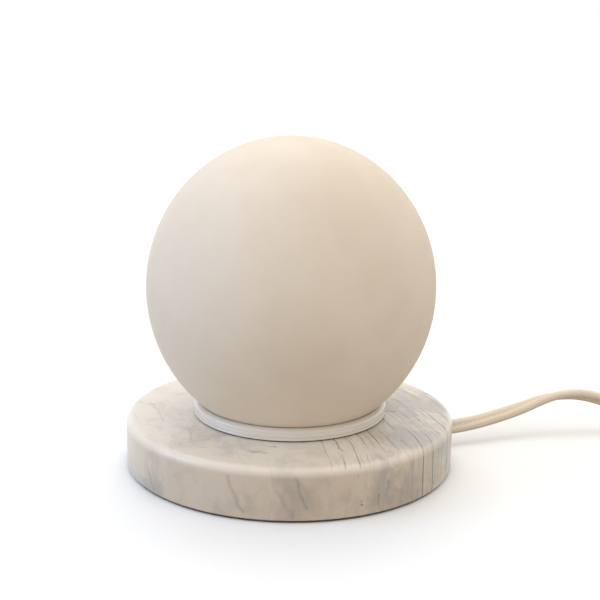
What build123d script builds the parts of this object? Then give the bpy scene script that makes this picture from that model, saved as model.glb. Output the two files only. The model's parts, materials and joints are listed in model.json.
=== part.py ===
from build123d import *
import os
from math import acos, cos, degrees, pi, radians, sin, sqrt, tan

# Table lamp: an opal glass globe standing in a turned white dish on a round stone foot.
# Millimetres, +Z up. The origin is the centre of the underside, on the surface it stands on.
# The lamp is seen from -Y, and its cord leaves the foot at the back of the right-hand side.

os.makedirs("parts", exist_ok=True)

# ---------------------------------------------------------------------------- driving sizes

# Stone foot and the felt pad glued under it
base_radius = 86.3
stone_thickness = 25.7
stone_top_round = 3.9
stone_foot_round = 0.8
pad_thickness = 1.2
pad_margin = 2.0
recess_radius = 36.0
recess_depth = 17.0

# Globe: slightly taller than wide, open below, with a ground rim
globe_radius = 75.0
globe_half_height = 78.0
glass_thickness = 3.0
mouth_radius = 42.4
rim_chamfer = 0.7

# Dish that the globe stands in, and its two gaskets
dish_height = 6.0
dish_floor = 1.2
dish_wall = 2.8
lip_gap = 0.4
lip_round = 1.1
dish_foot_round = 0.5
bead_height = 2.1
groove_radius = 0.55
foot_bead_height = 1.1
fine_groove_radius = 0.3
dish_gasket_thickness = 0.5
dish_gasket_width = 9.0
dish_gasket_inset = 1.0
seat_thickness = 1.2
seat_margin = 1.0

# Threaded tube (M10 x 1) that clamps the dish to the stone
tube_radius = 5.0
tube_bore_radius = 4.0
tube_chamfer = 0.5
tube_proud = 1.2
nut_flats = 14.0
lower_nut_height = 3.5
upper_nut_height = 3.0
lower_washer_radius = 12.0
lower_washer_thickness = 1.5
upper_washer_radius = 10.0
upper_washer_thickness = 1.0
thread_fit = 0.05
hole_clearance = 0.3

# Cord: flat twin, fabric covered, taken as round at its full width
cord_radius = 4.0
cord_angle = 16.0
cord_height = 8.6
cord_fit = 0.15
wire_radius = 1.2
wire_spacing = 3.2
wire_bend = 6.0
stripped_at = 22.0

# Bush in the stone wall and the grip inside the recess
bush_wall = 0.95
bush_length = 14.0
bush_flange_radius = 5.8
bush_flange_thickness = 1.2
bush_seat_gap = 0.05
tunnel_clearance = 0.1
grip_length = 10.0
grip_width = 18.0
grip_height = 12.8
grip_wall_gap = 2.0
grip_round = 1.2
grip_screw_radius = 2.0
grip_screw_slot = 0.8

# Lampholder for a small screw cap (E14)
holder_gap = 0.4
holder_radius = 13.5
holder_cap_height = 17.0
holder_cap_wall = 1.8
holder_cap_floor = 3.0
holder_boss_radius = 7.5
holder_boss_height = 6.0
holder_joint_gap = 0.2
holder_shell_height = 22.8
holder_shell_wall = 2.0
holder_collar_height = 5.0
holder_edge_round = 1.0
core_thickness = 4.0
core_clearance = 0.2
sleeve_radius = 7.2
sleeve_thickness = 0.5
sleeve_clearance = 0.15
sleeve_lift = 1.2
sleeve_end_drop = 1.0
strip_thickness = 0.5
strip_width = 4.0
tongue_rise = 1.5
terminal_offset = 7.0
terminal_width = 5.0
terminal_depth = 6.0
terminal_height = 6.0
terminal_wire_depth = 5.0
terminal_screw_radius = 1.05
terminal_head_radius = 2.0
terminal_head_height = 1.0

# Bulb: small globe with the same screw cap
bulb_radius = 22.5
bulb_length = 78.0
bulb_wall = 1.0
bulb_gap = 0.3
tip_radius = 2.4
tip_height = 1.2
insulator_height = 2.6
insulator_radius = 3.2
cap_radius = 6.94
cap_pitch = 2.82
cap_ribs = 5
cap_rib_depth = 0.7
cap_skirt_height = 2.0
collar_height = 19.2
collar_foot_radius = 7.8
collar_waist_radius = 9.6
collar_waist_height = 7.0

# Hand switch on the cord
switch_x = 222.0
switch_y = 50.0
switch_length = 56.0
switch_width = 26.0
switch_height = 17.5
switch_split = 8.0
switch_wall = 1.8
switch_corner = 9.0
switch_top_round = 3.0
switch_foot_round = 1.0
switch_grip = 6.0
rocker_length = 16.4
rocker_width = 11.4
rocker_tilt = 8.0
rocker_pivot = 14.5
rocker_crest = 1.8
rocker_drop = 3.0
rocker_gap = 0.4
well_wall = 1.6
well_depth = 6.6
trunnion_radius = 1.5
trunnion_length = 1.3
trunnion_fit = 0.08
boss_radius = 3.0
boss_spacing = 34.0
boss_offset = 8.6
switch_screw_radius = 1.3
switch_screw_head = 2.4
switch_screw_reach = 12.0
switch_screw_sink = 1.0
switch_contact_width = 5.0
switch_contact_spacing = 12.0

# Plug: flat two-pin
plug_width = 35.3
plug_height = 13.7
plug_front = 14.0
plug_length = 38.0
plug_tail_width = 13.0
plug_corner = 3.5
plug_edge_round = 2.5
pin_radius = 2.0
pin_length = 19.0
pin_spacing = 18.6
pin_core_radius = 1.5
pin_rooted = 12.0
pin_sleeve_length = 10.0
pin_tip_round = 1.2

# Coil: the unseen length put away, in two layers
coil_x = 277.0
coil_y = -51.0
coil_radius = 52.0
turn_gap = 0.5
inward_half_turns = 5
outward_half_turns = 4
floor_gap = 0.05

# ---------------------------------------------------------------------------- levels and planes

stone_z = pad_thickness
table_z = stone_z + stone_thickness
dish_z = table_z + dish_gasket_thickness
dish_floor_z = dish_z + dish_floor
lip_z = dish_z + dish_height
rim_z = dish_floor_z + seat_thickness
globe_z = rim_z + globe_half_height * sqrt(1 - (mouth_radius / globe_radius) ** 2)
recess_z = stone_z + recess_depth
lower_nut_z = recess_z - lower_washer_thickness - lower_nut_height
tube_z = lower_nut_z - tube_proud
upper_nut_z = dish_floor_z + upper_washer_thickness
holder_z = upper_nut_z + upper_nut_height + holder_gap
tube_top_z = holder_z + holder_boss_height
shell_z = holder_z + holder_cap_height + holder_joint_gap
core_top_z = shell_z + core_thickness
tongue_top_z = core_top_z + strip_thickness + tongue_rise
bulb_tip_z = tongue_top_z + bulb_gap
layer_1_z = cord_radius + floor_gap
turn_pitch = 2 * cord_radius + turn_gap
layer_2_z = layer_1_z + turn_pitch

outward = Vector(cos(radians(cord_angle)), sin(radians(cord_angle)), 0)
sideways = Vector(-outward.Y, outward.X, 0)
upward = Vector(0, 0, 1)


def glass_radius(height):
    """Outer radius of the globe at a height above the surface."""
    return globe_radius * sqrt(1 - ((height - globe_z) / globe_half_height) ** 2)


def spot(along, across, height):
    """A point given along and across the line on which the cord enters the foot."""
    return outward * along + sideways * across + upward * height


def level(height):
    """Horizontal plane on the lamp's axis, with its x along the cord's entry."""
    return Plane(origin=(0, 0, height), x_dir=outward, z_dir=upward)


def face_out(along, height=cord_height):
    """Upright plane square to the cord's entry, at a distance from the axis."""
    return Plane(origin=spot(along, 0, height), x_dir=sideways, z_dir=outward)


# ---------------------------------------------------------------------------- foot

bush_radius = cord_radius + cord_fit + bush_wall
tunnel_radius = bush_radius + tunnel_clearance

with BuildPart() as marble_base:
    with BuildSketch(Plane.XY.offset(stone_z)):
        Circle(base_radius)
    extrude(amount=stone_thickness)
    fillet(marble_base.edges().group_by(Axis.Z)[-1], stone_top_round)
    fillet(marble_base.edges().group_by(Axis.Z)[0], stone_foot_round)
    with BuildSketch(Plane.XY.offset(stone_z)):
        Circle(recess_radius)
    extrude(amount=recess_depth, mode=Mode.SUBTRACT)
    with BuildSketch(Plane.XY.offset(recess_z)):
        Circle(tube_radius + hole_clearance)
    extrude(amount=stone_thickness - recess_depth, mode=Mode.SUBTRACT)
    with BuildSketch(face_out(stripped_at)):
        Circle(tunnel_radius)
    extrude(amount=base_radius, mode=Mode.SUBTRACT)

with BuildPart() as base_pad:
    with BuildSketch():
        Circle(base_radius - stone_foot_round - pad_margin)
    extrude(amount=pad_thickness)

# ---------------------------------------------------------------------------- dish and gaskets

lip_radius = glass_radius(lip_z) + lip_gap
dish_radius = lip_radius + dish_wall

with BuildPart() as dish_gasket:
    with BuildSketch(Plane.XY.offset(table_z)):
        Circle(dish_radius - dish_gasket_inset)
        Circle(dish_radius - dish_gasket_inset - dish_gasket_width, mode=Mode.SUBTRACT)
    extrude(amount=dish_gasket_thickness)

with BuildPart() as collar_dish:
    with BuildSketch(Plane.XY.offset(dish_z)):
        Circle(dish_radius)
    extrude(amount=dish_height)
    fillet(collar_dish.edges().group_by(Axis.Z)[0], dish_foot_round)
    fillet(collar_dish.edges().group_by(Axis.Z)[-1], lip_round)
    with BuildSketch(Plane.XY.offset(dish_floor_z)):
        Circle(lip_radius)
    extrude(amount=dish_height, mode=Mode.SUBTRACT)
    with BuildSketch(Plane.XY.offset(dish_z)):
        Circle(tube_radius + hole_clearance)
    extrude(amount=dish_floor, mode=Mode.SUBTRACT)
    with BuildSketch(Plane.XZ):
        with Locations((dish_radius, lip_z - bead_height)):
            Circle(groove_radius)
        with Locations((dish_radius, dish_z + foot_bead_height)):
            Circle(fine_groove_radius)
    revolve(axis=Axis.Z, mode=Mode.SUBTRACT)

glass_inner_mouth = (globe_radius - glass_thickness) * sqrt(
    1 - ((globe_z - rim_z) / (globe_half_height - glass_thickness)) ** 2)

with BuildPart() as seat_gasket:
    with BuildSketch(Plane.XY.offset(dish_floor_z)):
        Circle(mouth_radius + seat_margin)
        Circle(glass_inner_mouth - seat_margin, mode=Mode.SUBTRACT)
    extrude(amount=seat_thickness)

# ---------------------------------------------------------------------------- globe

outer_start = -degrees(acos(mouth_radius / globe_radius))
inner_start = -degrees(acos(glass_inner_mouth / (globe_radius - glass_thickness)))

with BuildPart() as globe_glass:
    with BuildSketch(Plane.XZ):
        with BuildLine():
            outer_arc = EllipticalCenterArc((0, globe_z), globe_radius, globe_half_height,
                                            outer_start, arc_size=90 - outer_start)
            inner_arc = EllipticalCenterArc((0, globe_z), globe_radius - glass_thickness,
                                            globe_half_height - glass_thickness,
                                            inner_start, arc_size=90 - inner_start)
            Line(outer_arc @ 0, inner_arc @ 0)
            Line(outer_arc @ 1, inner_arc @ 1)
        make_face()
    revolve(axis=Axis.Z)
    chamfer(globe_glass.edges().group_by(Axis.Z)[0], rim_chamfer)

# ---------------------------------------------------------------------------- clamping stack

with BuildPart() as threaded_tube:
    with BuildSketch(Plane.XY.offset(tube_z)):
        Circle(tube_radius)
        Circle(tube_bore_radius, mode=Mode.SUBTRACT)
    extrude(amount=tube_top_z - tube_z)
    chamfer(threaded_tube.edges().filter_by(
        lambda edge: edge.length > 2 * pi * (tube_radius - 0.1)), tube_chamfer)

with BuildPart() as lower_washer:
    with BuildSketch(Plane.XY.offset(recess_z - lower_washer_thickness)):
        Circle(lower_washer_radius)
        Circle(tube_radius + hole_clearance, mode=Mode.SUBTRACT)
    extrude(amount=lower_washer_thickness)

with BuildPart() as upper_washer:
    with BuildSketch(Plane.XY.offset(dish_floor_z)):
        Circle(upper_washer_radius)
        Circle(tube_radius + hole_clearance, mode=Mode.SUBTRACT)
    extrude(amount=upper_washer_thickness)

with BuildPart() as lower_nut:
    with BuildSketch(Plane.XY.offset(lower_nut_z)):
        RegularPolygon(nut_flats / 2, 6, major_radius=False)
        Circle(tube_radius + thread_fit, mode=Mode.SUBTRACT)
    extrude(amount=lower_nut_height)

with BuildPart() as upper_nut:
    with BuildSketch(Plane.XY.offset(upper_nut_z)):
        RegularPolygon(nut_flats / 2, 6, major_radius=False)
        Circle(tube_radius + thread_fit, mode=Mode.SUBTRACT)
    extrude(amount=upper_nut_height)

# ---------------------------------------------------------------------------- cord entry

with BuildPart() as cord_bush:
    with BuildSketch(face_out(base_radius + bush_seat_gap)):
        Circle(bush_flange_radius)
    extrude(amount=bush_flange_thickness)
    fillet(cord_bush.edges().sort_by(lambda edge: (edge @ 0).dot(outward))[-1],
           bush_flange_thickness / 2)
    with BuildSketch(face_out(base_radius + bush_seat_gap)):
        Circle(bush_radius)
    extrude(amount=-bush_length)
    with BuildSketch(face_out(base_radius + bush_seat_gap + bush_flange_thickness)):
        Circle(cord_radius + cord_fit)
    extrude(amount=-bush_length - bush_flange_thickness, mode=Mode.SUBTRACT)

grip_outer = recess_radius - grip_wall_gap
grip_inner = grip_outer - grip_length
grip_screw_at = (grip_outer + grip_inner) / 2
screw_depth = grip_width / 2 - cord_radius - cord_fit
screw_face = Plane(origin=spot(grip_screw_at, -grip_width / 2, cord_height),
                   x_dir=outward, z_dir=sideways)

with BuildPart() as cord_grip:
    with BuildSketch(face_out(grip_inner)):
        RectangleRounded(grip_width, grip_height, grip_round)
    extrude(amount=grip_length)
    with BuildSketch(face_out(grip_inner)):
        Circle(cord_radius + cord_fit)
    extrude(amount=grip_length, mode=Mode.SUBTRACT)
    with BuildSketch(screw_face):
        Circle(grip_screw_radius + thread_fit)
    extrude(amount=grip_width / 2 - cord_radius, mode=Mode.SUBTRACT)

with BuildPart() as cord_grip_screw:
    with BuildSketch(screw_face):
        Circle(grip_screw_radius)
    extrude(amount=screw_depth)
    with BuildSketch(screw_face):
        Rectangle(2 * grip_screw_radius, grip_screw_slot)
    extrude(amount=grip_screw_slot, mode=Mode.SUBTRACT)

# ---------------------------------------------------------------------------- inner wires

terminal_z = shell_z - terminal_height
wire_end_z = terminal_z + terminal_wire_depth


def wire_route(side):
    """One core of the cord, from its stripped end up the tube to its terminal."""
    across = side * wire_spacing / 2
    return [
        spot(stripped_at, across, cord_height),
        spot(0, across, cord_height),
        spot(0, across, tube_top_z + wire_radius),
        spot(0, side * terminal_offset, terminal_z - wire_radius),
        spot(0, side * terminal_offset, wire_end_z),
    ]


wire_corners = [wire_bend, wire_bend / 2, wire_bend / 3]

with BuildPart() as live_wire:
    with BuildLine() as live_line:
        FilletPolyline(*wire_route(1), radius=wire_corners)
    with BuildSketch(Plane(origin=live_line.line @ 0, z_dir=live_line.line % 0)):
        Circle(wire_radius)
    sweep()

with BuildPart() as neutral_wire:
    with BuildLine() as neutral_line:
        FilletPolyline(*wire_route(-1), radius=wire_corners)
    with BuildSketch(Plane(origin=neutral_line.line @ 0, z_dir=neutral_line.line % 0)):
        Circle(wire_radius)
    sweep()

# ---------------------------------------------------------------------------- lampholder

sleeve_outer = sleeve_radius + sleeve_thickness
shell_top_z = shell_z + holder_shell_height

with BuildPart() as holder_cap:
    with BuildSketch(level(holder_z)):
        Circle(holder_radius)
    extrude(amount=holder_cap_height)
    fillet(holder_cap.edges().group_by(Axis.Z)[0], holder_edge_round)
    with BuildSketch(level(holder_z + holder_cap_floor)):
        Circle(holder_radius - holder_cap_wall)
        Circle(holder_boss_radius, mode=Mode.SUBTRACT)
    extrude(amount=holder_cap_height, mode=Mode.SUBTRACT)
    with BuildSketch(level(tube_top_z)):
        Circle(holder_radius - holder_cap_wall)
    extrude(amount=holder_cap_height, mode=Mode.SUBTRACT)
    with BuildSketch(level(holder_z)):
        Circle(tube_radius + thread_fit)
    extrude(amount=holder_cap_height, mode=Mode.SUBTRACT)

with BuildPart() as holder_shell:
    with BuildSketch(level(shell_z)):
        Circle(holder_radius)
    extrude(amount=holder_shell_height)
    fillet(holder_shell.edges().group_by(Axis.Z)[-1], holder_edge_round)
    with BuildSketch(level(shell_z)):
        Circle(holder_radius - holder_shell_wall)
    extrude(amount=holder_shell_height - holder_collar_height, mode=Mode.SUBTRACT)
    with BuildSketch(level(shell_z)):
        Circle(sleeve_outer + sleeve_clearance)
    extrude(amount=holder_shell_height, mode=Mode.SUBTRACT)

with BuildPart() as holder_core:
    with BuildSketch(level(shell_z)):
        Circle(holder_radius - holder_shell_wall - core_clearance)
    extrude(amount=core_thickness)

with BuildPart() as holder_sleeve:
    with BuildSketch(level(core_top_z + sleeve_lift)):
        Circle(sleeve_outer)
        Circle(sleeve_radius, mode=Mode.SUBTRACT)
    extrude(amount=shell_top_z - sleeve_end_drop - core_top_z - sleeve_lift)

across_plane = Plane(origin=(0, 0, core_top_z), x_dir=sideways, z_dir=outward)

with BuildPart() as centre_contact:
    with BuildSketch(across_plane):
        with BuildLine():
            Polyline((-terminal_offset, strip_thickness / 2),
                     (-2.2 * tongue_rise, strip_thickness / 2),
                     (-tongue_rise, strip_thickness / 2 + tongue_rise),
                     (tongue_rise, strip_thickness / 2 + tongue_rise),
                     (1.8 * tongue_rise, tongue_rise))
        trace(line_width=strip_thickness)
    extrude(amount=strip_width / 2, both=True)

with BuildPart() as side_contact:
    with BuildSketch(across_plane):
        with BuildLine():
            Polyline((sleeve_outer + 3 * strip_thickness, strip_thickness / 2),
                     (sleeve_outer + strip_thickness / 2, strip_thickness / 2),
                     (sleeve_outer + strip_thickness / 2, strip_width))
        trace(line_width=strip_thickness)
    extrude(amount=strip_width / 2, both=True)

with BuildPart() as terminal_blocks:
    for side in (-1, 1):
        with BuildSketch(level(terminal_z)):
            with Locations((0, side * terminal_offset)):
                Rectangle(terminal_depth, terminal_width)
                Circle(wire_radius + tunnel_clearance, mode=Mode.SUBTRACT)
        extrude(amount=terminal_wire_depth)
        with BuildSketch(level(terminal_z + terminal_wire_depth)):
            with Locations((0, side * terminal_offset)):
                Rectangle(terminal_depth, terminal_width)
        extrude(amount=terminal_height - terminal_wire_depth)
    with BuildSketch(face_out(terminal_depth / 2, terminal_z + terminal_height / 2)):
        with Locations((-terminal_offset, 0), (terminal_offset, 0)):
            Circle(terminal_screw_radius + thread_fit)
    extrude(amount=wire_radius / 2 - terminal_depth / 2, mode=Mode.SUBTRACT)

with BuildPart() as terminal_screws:
    with BuildSketch(face_out(terminal_depth / 2 + terminal_head_height,
                              terminal_z + terminal_height / 2)):
        with Locations((-terminal_offset, 0), (terminal_offset, 0)):
            Circle(terminal_screw_radius)
    extrude(amount=wire_radius + tunnel_clearance - terminal_depth / 2 - terminal_head_height)
    with BuildSketch(face_out(terminal_depth / 2, terminal_z + terminal_height / 2)):
        with Locations((-terminal_offset, 0), (terminal_offset, 0)):
            Circle(terminal_head_radius)
    extrude(amount=terminal_head_height)

# ---------------------------------------------------------------------------- bulb

insulator_z = bulb_tip_z + tip_height + bulb_gap
cap_z = insulator_z + insulator_height
cap_thread_height = cap_ribs * cap_pitch
collar_z = cap_z + cap_thread_height + cap_skirt_height
glass_foot_z = collar_z + collar_height
bulb_z = bulb_tip_z + bulb_length - bulb_radius
cap_root_radius = cap_radius - cap_rib_depth
glass_foot_radius = sqrt(bulb_radius ** 2 - (bulb_z - glass_foot_z) ** 2)

with BuildPart() as bulb_contact:
    with BuildSketch(Plane.XY.offset(bulb_tip_z)):
        Circle(tip_radius)
    extrude(amount=tip_height)
    fillet(bulb_contact.edges().group_by(Axis.Z)[0], tip_height / 2)

with BuildPart() as bulb_insulator:
    with BuildSketch(Plane.XZ):
        Polygon((0, insulator_z), (insulator_radius, insulator_z),
                (cap_root_radius, cap_z), (0, cap_z), align=None)
    revolve(axis=Axis.Z)

with BuildPart() as bulb_cap:
    with BuildSketch(Plane.XZ):
        with BuildLine():
            Line((0, cap_z), (cap_root_radius, cap_z))
            for rib in range(cap_ribs):
                rib_z = cap_z + rib * cap_pitch
                ThreePointArc((cap_root_radius, rib_z), (cap_radius, rib_z + cap_pitch / 2),
                              (cap_root_radius, rib_z + cap_pitch))
            Polyline((cap_root_radius, cap_z + cap_thread_height),
                     (cap_root_radius, collar_z), (0, collar_z), (0, cap_z))
        make_face()
    revolve(axis=Axis.Z)

with BuildPart() as bulb_collar:
    with BuildSketch(Plane.XZ):
        with BuildLine():
            Polyline((0, glass_foot_z), (0, collar_z), (collar_foot_radius, collar_z))
            Spline((collar_foot_radius, collar_z),
                   (collar_waist_radius, collar_z + collar_waist_height),
                   (glass_foot_radius, glass_foot_z), tangents=((0, 1), (1, 1.2)))
            Line((glass_foot_radius, glass_foot_z), (0, glass_foot_z))
        make_face()
    revolve(axis=Axis.Z)

with BuildPart() as bulb_glass:
    with BuildSketch(Plane.XZ):
        with Locations((0, bulb_z)):
            Circle(bulb_radius)
            Circle(bulb_radius - bulb_wall, mode=Mode.SUBTRACT)
        with Locations((0, glass_foot_z)):
            Rectangle(bulb_radius, 2 * bulb_radius, align=(Align.MIN, Align.MIN),
                      mode=Mode.INTERSECT)
    revolve(axis=Axis.Z)

# ---------------------------------------------------------------------------- cord, as it lies


def corner_radii(points):
    """Largest arc that the two runs at each corner leave room for."""
    radii = []
    for before, corner, after in zip(points, points[1:], points[2:]):
        arriving = corner - before
        leaving = after - corner
        half_turn = radians(arriving.get_angle(leaving)) / 2
        radii.append(0.45 * min(arriving.length, leaving.length) / tan(half_turn))
    return radii


def biarc(start, start_direction, end, end_direction):
    """Two arcs, tangent to each other, that join two points with given directions."""
    gap = end - start
    lean = start_direction + end_direction
    spread = 2 * (1 - start_direction.dot(end_direction))
    along = gap.dot(lean)
    reach = (sqrt(along ** 2 + spread * gap.dot(gap)) - along) / spread
    knee_a = start + start_direction * reach
    knee_b = end - end_direction * reach
    joint = (knee_a + knee_b) * 0.5
    TangentArc(start, joint, tangent=start_direction)
    TangentArc(joint, end, tangent=knee_b - knee_a)


def report_tube(name, tube, path):
    """Compare a tube's volume with its section times its length."""
    length = Wire(path.edges()).length
    expected = pi * cord_radius ** 2 * length
    print(f"{name}: length {length:.1f}, volume / expected {tube.part.volume / expected:.4f}")


# From the stripped end, out through the bush, over a long low hump and down to the switch
switch_cord_z = switch_split
lead_points = [
    spot(stripped_at, 0, cord_height),
    spot(base_radius + 11.7, 0, cord_height),
    Vector(129.0, 44.0, 13.2),
    Vector(152.5, 53.5, 20.2),
    Vector(175.5, 56.0, 20.2),
    Vector(switch_x - 15.5, switch_y, switch_cord_z),
    Vector(switch_x + switch_grip, switch_y, switch_cord_z),
]
lead_radii = corner_radii(lead_points)
print("cord_lead radii", [round(radius, 1) for radius in lead_radii])

with BuildPart() as cord_lead:
    with BuildLine() as lead_line:
        FilletPolyline(*lead_points, radius=lead_radii)
    with BuildSketch(Plane(origin=lead_line.line @ 0, z_dir=lead_line.line % 0)):
        Circle(cord_radius)
    sweep()
report_tube("cord_lead", cord_lead, lead_line)

# From the switch round to the right-hand side of the coil
coil_start = Vector(coil_x + coil_radius, coil_y + 2 * cord_radius, layer_1_z)
switch_end_x = switch_x + switch_length
tail_points = [
    Vector(switch_end_x - switch_grip, switch_y, switch_cord_z),
    Vector(switch_end_x + 17.5, switch_y, switch_cord_z),
    Vector(switch_end_x + 38.5, switch_y - 12.0, layer_1_z + 0.9),
    Vector(switch_end_x + 49.5, switch_y - 33.5, layer_1_z),
    Vector(coil_start.X, coil_start.Y + 30.0, layer_1_z),
    coil_start,
]
tail_radii = corner_radii(tail_points)
print("cord_tail radii", [round(radius, 1) for radius in tail_radii])

with BuildPart() as cord_tail:
    with BuildLine() as tail_line:
        FilletPolyline(*tail_points, radius=tail_radii)
    with BuildSketch(Plane(origin=tail_line.line @ 0, z_dir=tail_line.line % 0)):
        Circle(cord_radius)
    sweep()
report_tube("cord_tail", cord_tail, tail_line)

# The coil spirals in on the surface, climbs a layer in half a turn and spirals out again.
# It is wound clockwise seen from above, with a station at each half turn.
stations = []
station_x = coil_x + coil_radius
half_turn_radius = coil_radius
heading = Vector(0, -1, 0)
for half_turn in range(inward_half_turns):
    stations.append((Vector(station_x, coil_y, layer_1_z), heading))
    station_x += 2 * half_turn_radius * heading.Y
    half_turn_radius -= turn_pitch / 2
    heading = -heading
stations.append((Vector(station_x, coil_y, layer_1_z), heading))
climb_middle_x = station_x + half_turn_radius
climb_slope = (layer_2_z - layer_1_z) / (2 * half_turn_radius)
stations.append((Vector(climb_middle_x, coil_y + half_turn_radius, (layer_1_z + layer_2_z) / 2),
                 Vector(1, 0, climb_slope).normalized()))
station_x += 2 * half_turn_radius
heading = -heading
for half_turn in range(outward_half_turns):
    stations.append((Vector(station_x, coil_y, layer_2_z), heading))
    half_turn_radius += turn_pitch / 2
    station_x += 2 * half_turn_radius * heading.Y
    heading = -heading
stations.append((Vector(station_x, coil_y, layer_2_z), heading))
half_turn_radius += turn_pitch / 2
coil_leave = Vector(station_x - half_turn_radius, coil_y - half_turn_radius, layer_2_z)
stations.append((coil_leave, Vector(-1, 0, 0)))
coil_end = coil_leave - Vector(2 * cord_radius, 0, 0)

with BuildPart() as cord_coil:
    with BuildLine() as coil_line:
        Line(coil_start, stations[0][0])
        for (start, start_direction), (end, end_direction) in zip(stations, stations[1:]):
            biarc(start, start_direction, end, end_direction)
        Line(coil_leave, coil_end)
    with BuildSketch(Plane(origin=coil_start, z_dir=Vector(0, -1, 0))):
        Circle(cord_radius)
    sweep()
report_tube("cord_coil", cord_coil, coil_line)


def least_gap(path, spacing=2.0, apart=30.0):
    """Least distance between two stretches of a tube, measured on points of its middle line."""
    middle_line = Wire(path.edges())
    count = int(middle_line.length / spacing)
    middles = [middle_line.position_at(index / count) for index in range(count + 1)]
    skip = int(apart / spacing)
    nearest = min((first - second).length for index, first in enumerate(middles)
                  for second in middles[index + skip:])
    return nearest - 2 * cord_radius


print(f"cord_coil least gap {least_gap(coil_line):.2f}")

# From the top of the coil down to the plug beside it
plug_cord_z = plug_height / 2
end_points = [
    coil_end,
    coil_end + Vector(-13.5, 0, 0),
    Vector(coil_end.X - 31.0, coil_end.Y, plug_cord_z),
    Vector(coil_end.X - 46.0, coil_end.Y, plug_cord_z),
]
end_radii = corner_radii(end_points)
print("cord_end radii", [round(radius, 1) for radius in end_radii])

with BuildPart() as cord_end:
    with BuildLine() as end_line:
        FilletPolyline(*end_points, radius=end_radii)
    with BuildSketch(Plane(origin=end_line.line @ 0, z_dir=end_line.line % 0)):
        Circle(cord_radius)
    sweep()
report_tube("cord_end", cord_end, end_line)

# ---------------------------------------------------------------------------- hand switch

switch_middle_x = switch_x + switch_length / 2
switch_plane = Plane(origin=(switch_middle_x, switch_y, 0), z_dir=(0, 0, 1))
switch_side = Plane(origin=(switch_middle_x, switch_y, rocker_pivot), x_dir=(1, 0, 0),
                    z_dir=(0, -1, 0))
switch_entry = Plane(origin=(switch_x, switch_y, switch_cord_z), z_dir=(1, 0, 0))
boss_places = ((-boss_spacing / 2, boss_offset), (boss_spacing / 2, -boss_offset))
well_length = rocker_length + 2 * rocker_gap
well_width = rocker_width + 2 * rocker_gap
well_z = switch_height - well_depth

with BuildPart() as switch_bottom:
    with BuildSketch(switch_plane):
        RectangleRounded(switch_length, switch_width, switch_corner)
    extrude(amount=switch_split)
    fillet(switch_bottom.edges().group_by(Axis.Z)[0], switch_foot_round)
    with BuildSketch(switch_plane.offset(switch_wall)):
        RectangleRounded(switch_length - 2 * switch_wall, switch_width - 2 * switch_wall,
                         switch_corner - switch_wall)
    extrude(amount=switch_split, mode=Mode.SUBTRACT)
    with BuildSketch(switch_plane.offset(switch_wall)):
        with Locations(*boss_places):
            Circle(boss_radius)
    extrude(amount=switch_split - switch_wall)
    with BuildSketch(switch_plane):
        with Locations(*boss_places):
            Circle(switch_screw_radius + thread_fit)
    extrude(amount=switch_split, mode=Mode.SUBTRACT)
    with BuildSketch(switch_plane):
        with Locations(*boss_places):
            Circle(switch_screw_head + tunnel_clearance)
    extrude(amount=switch_wall + switch_screw_sink, mode=Mode.SUBTRACT)
    with BuildSketch(switch_entry):
        Circle(cord_radius + cord_fit)
    extrude(amount=switch_length, mode=Mode.SUBTRACT)

with BuildPart() as switch_top:
    with BuildSketch(switch_plane.offset(switch_split)):
        RectangleRounded(switch_length, switch_width, switch_corner)
    extrude(amount=switch_height - switch_split)
    fillet(switch_top.edges().group_by(Axis.Z)[-1], switch_top_round)
    with BuildSketch(switch_plane.offset(switch_split)):
        RectangleRounded(switch_length - 2 * switch_wall, switch_width - 2 * switch_wall,
                         switch_corner - switch_wall)
    extrude(amount=switch_height - switch_split - switch_wall, mode=Mode.SUBTRACT)
    with BuildSketch(switch_plane.offset(well_z)):
        Rectangle(well_length + 2 * well_wall, well_width + 2 * well_wall)
    extrude(amount=well_depth - switch_wall / 2)
    with BuildSketch(switch_plane.offset(switch_split)):
        with Locations(*boss_places):
            Circle(boss_radius)
    extrude(amount=switch_height - switch_split - switch_wall / 2)
    with BuildSketch(switch_plane.offset(well_z)):
        Rectangle(well_length, well_width)
    extrude(amount=well_depth, mode=Mode.SUBTRACT)
    with BuildSketch(switch_plane.offset(switch_split)):
        with Locations(*boss_places):
            Circle(switch_screw_radius + thread_fit)
    extrude(amount=switch_screw_reach - switch_split, mode=Mode.SUBTRACT)
    with BuildSketch(switch_side):
        Circle(trunnion_radius + trunnion_fit)
    extrude(amount=well_width / 2 + well_wall, both=True, mode=Mode.SUBTRACT)
    with BuildSketch(switch_entry):
        Circle(cord_radius + cord_fit)
    extrude(amount=switch_length, mode=Mode.SUBTRACT)

rocker_plane = Plane(origin=switch_side.origin, z_dir=switch_side.z_dir,
                     x_dir=(cos(radians(rocker_tilt)), 0, sin(radians(rocker_tilt))))
half_rocker = rocker_length / 2
end_rise = rocker_crest + half_rocker * tan(radians(rocker_tilt))

with BuildPart() as switch_rocker:
    with BuildSketch(rocker_plane):
        Polygon((-half_rocker, end_rise), (0, rocker_crest), (half_rocker, end_rise),
                (half_rocker, -rocker_drop), (-half_rocker, -rocker_drop), align=None)
        Circle(half_rocker, mode=Mode.INTERSECT)
    extrude(amount=rocker_width / 2, both=True)
    with BuildSketch(rocker_plane):
        Circle(trunnion_radius)
    extrude(amount=well_width / 2 + trunnion_length, both=True)

with BuildPart() as switch_contacts:
    for side in (-1, 1):
        with BuildSketch(Plane(origin=(switch_middle_x + side * switch_contact_spacing, switch_y, 0),
                               x_dir=(side, 0, 0), z_dir=(0, -side, 0))):
            with BuildLine():
                Polyline((4.0, switch_wall + strip_thickness / 2),
                         (0, switch_wall + strip_thickness / 2),
                         (-2.0, switch_split - 1.2),
                         (-6.0, switch_split - 0.6))
            trace(line_width=strip_thickness)
        extrude(amount=switch_contact_width / 2, both=True)

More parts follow.
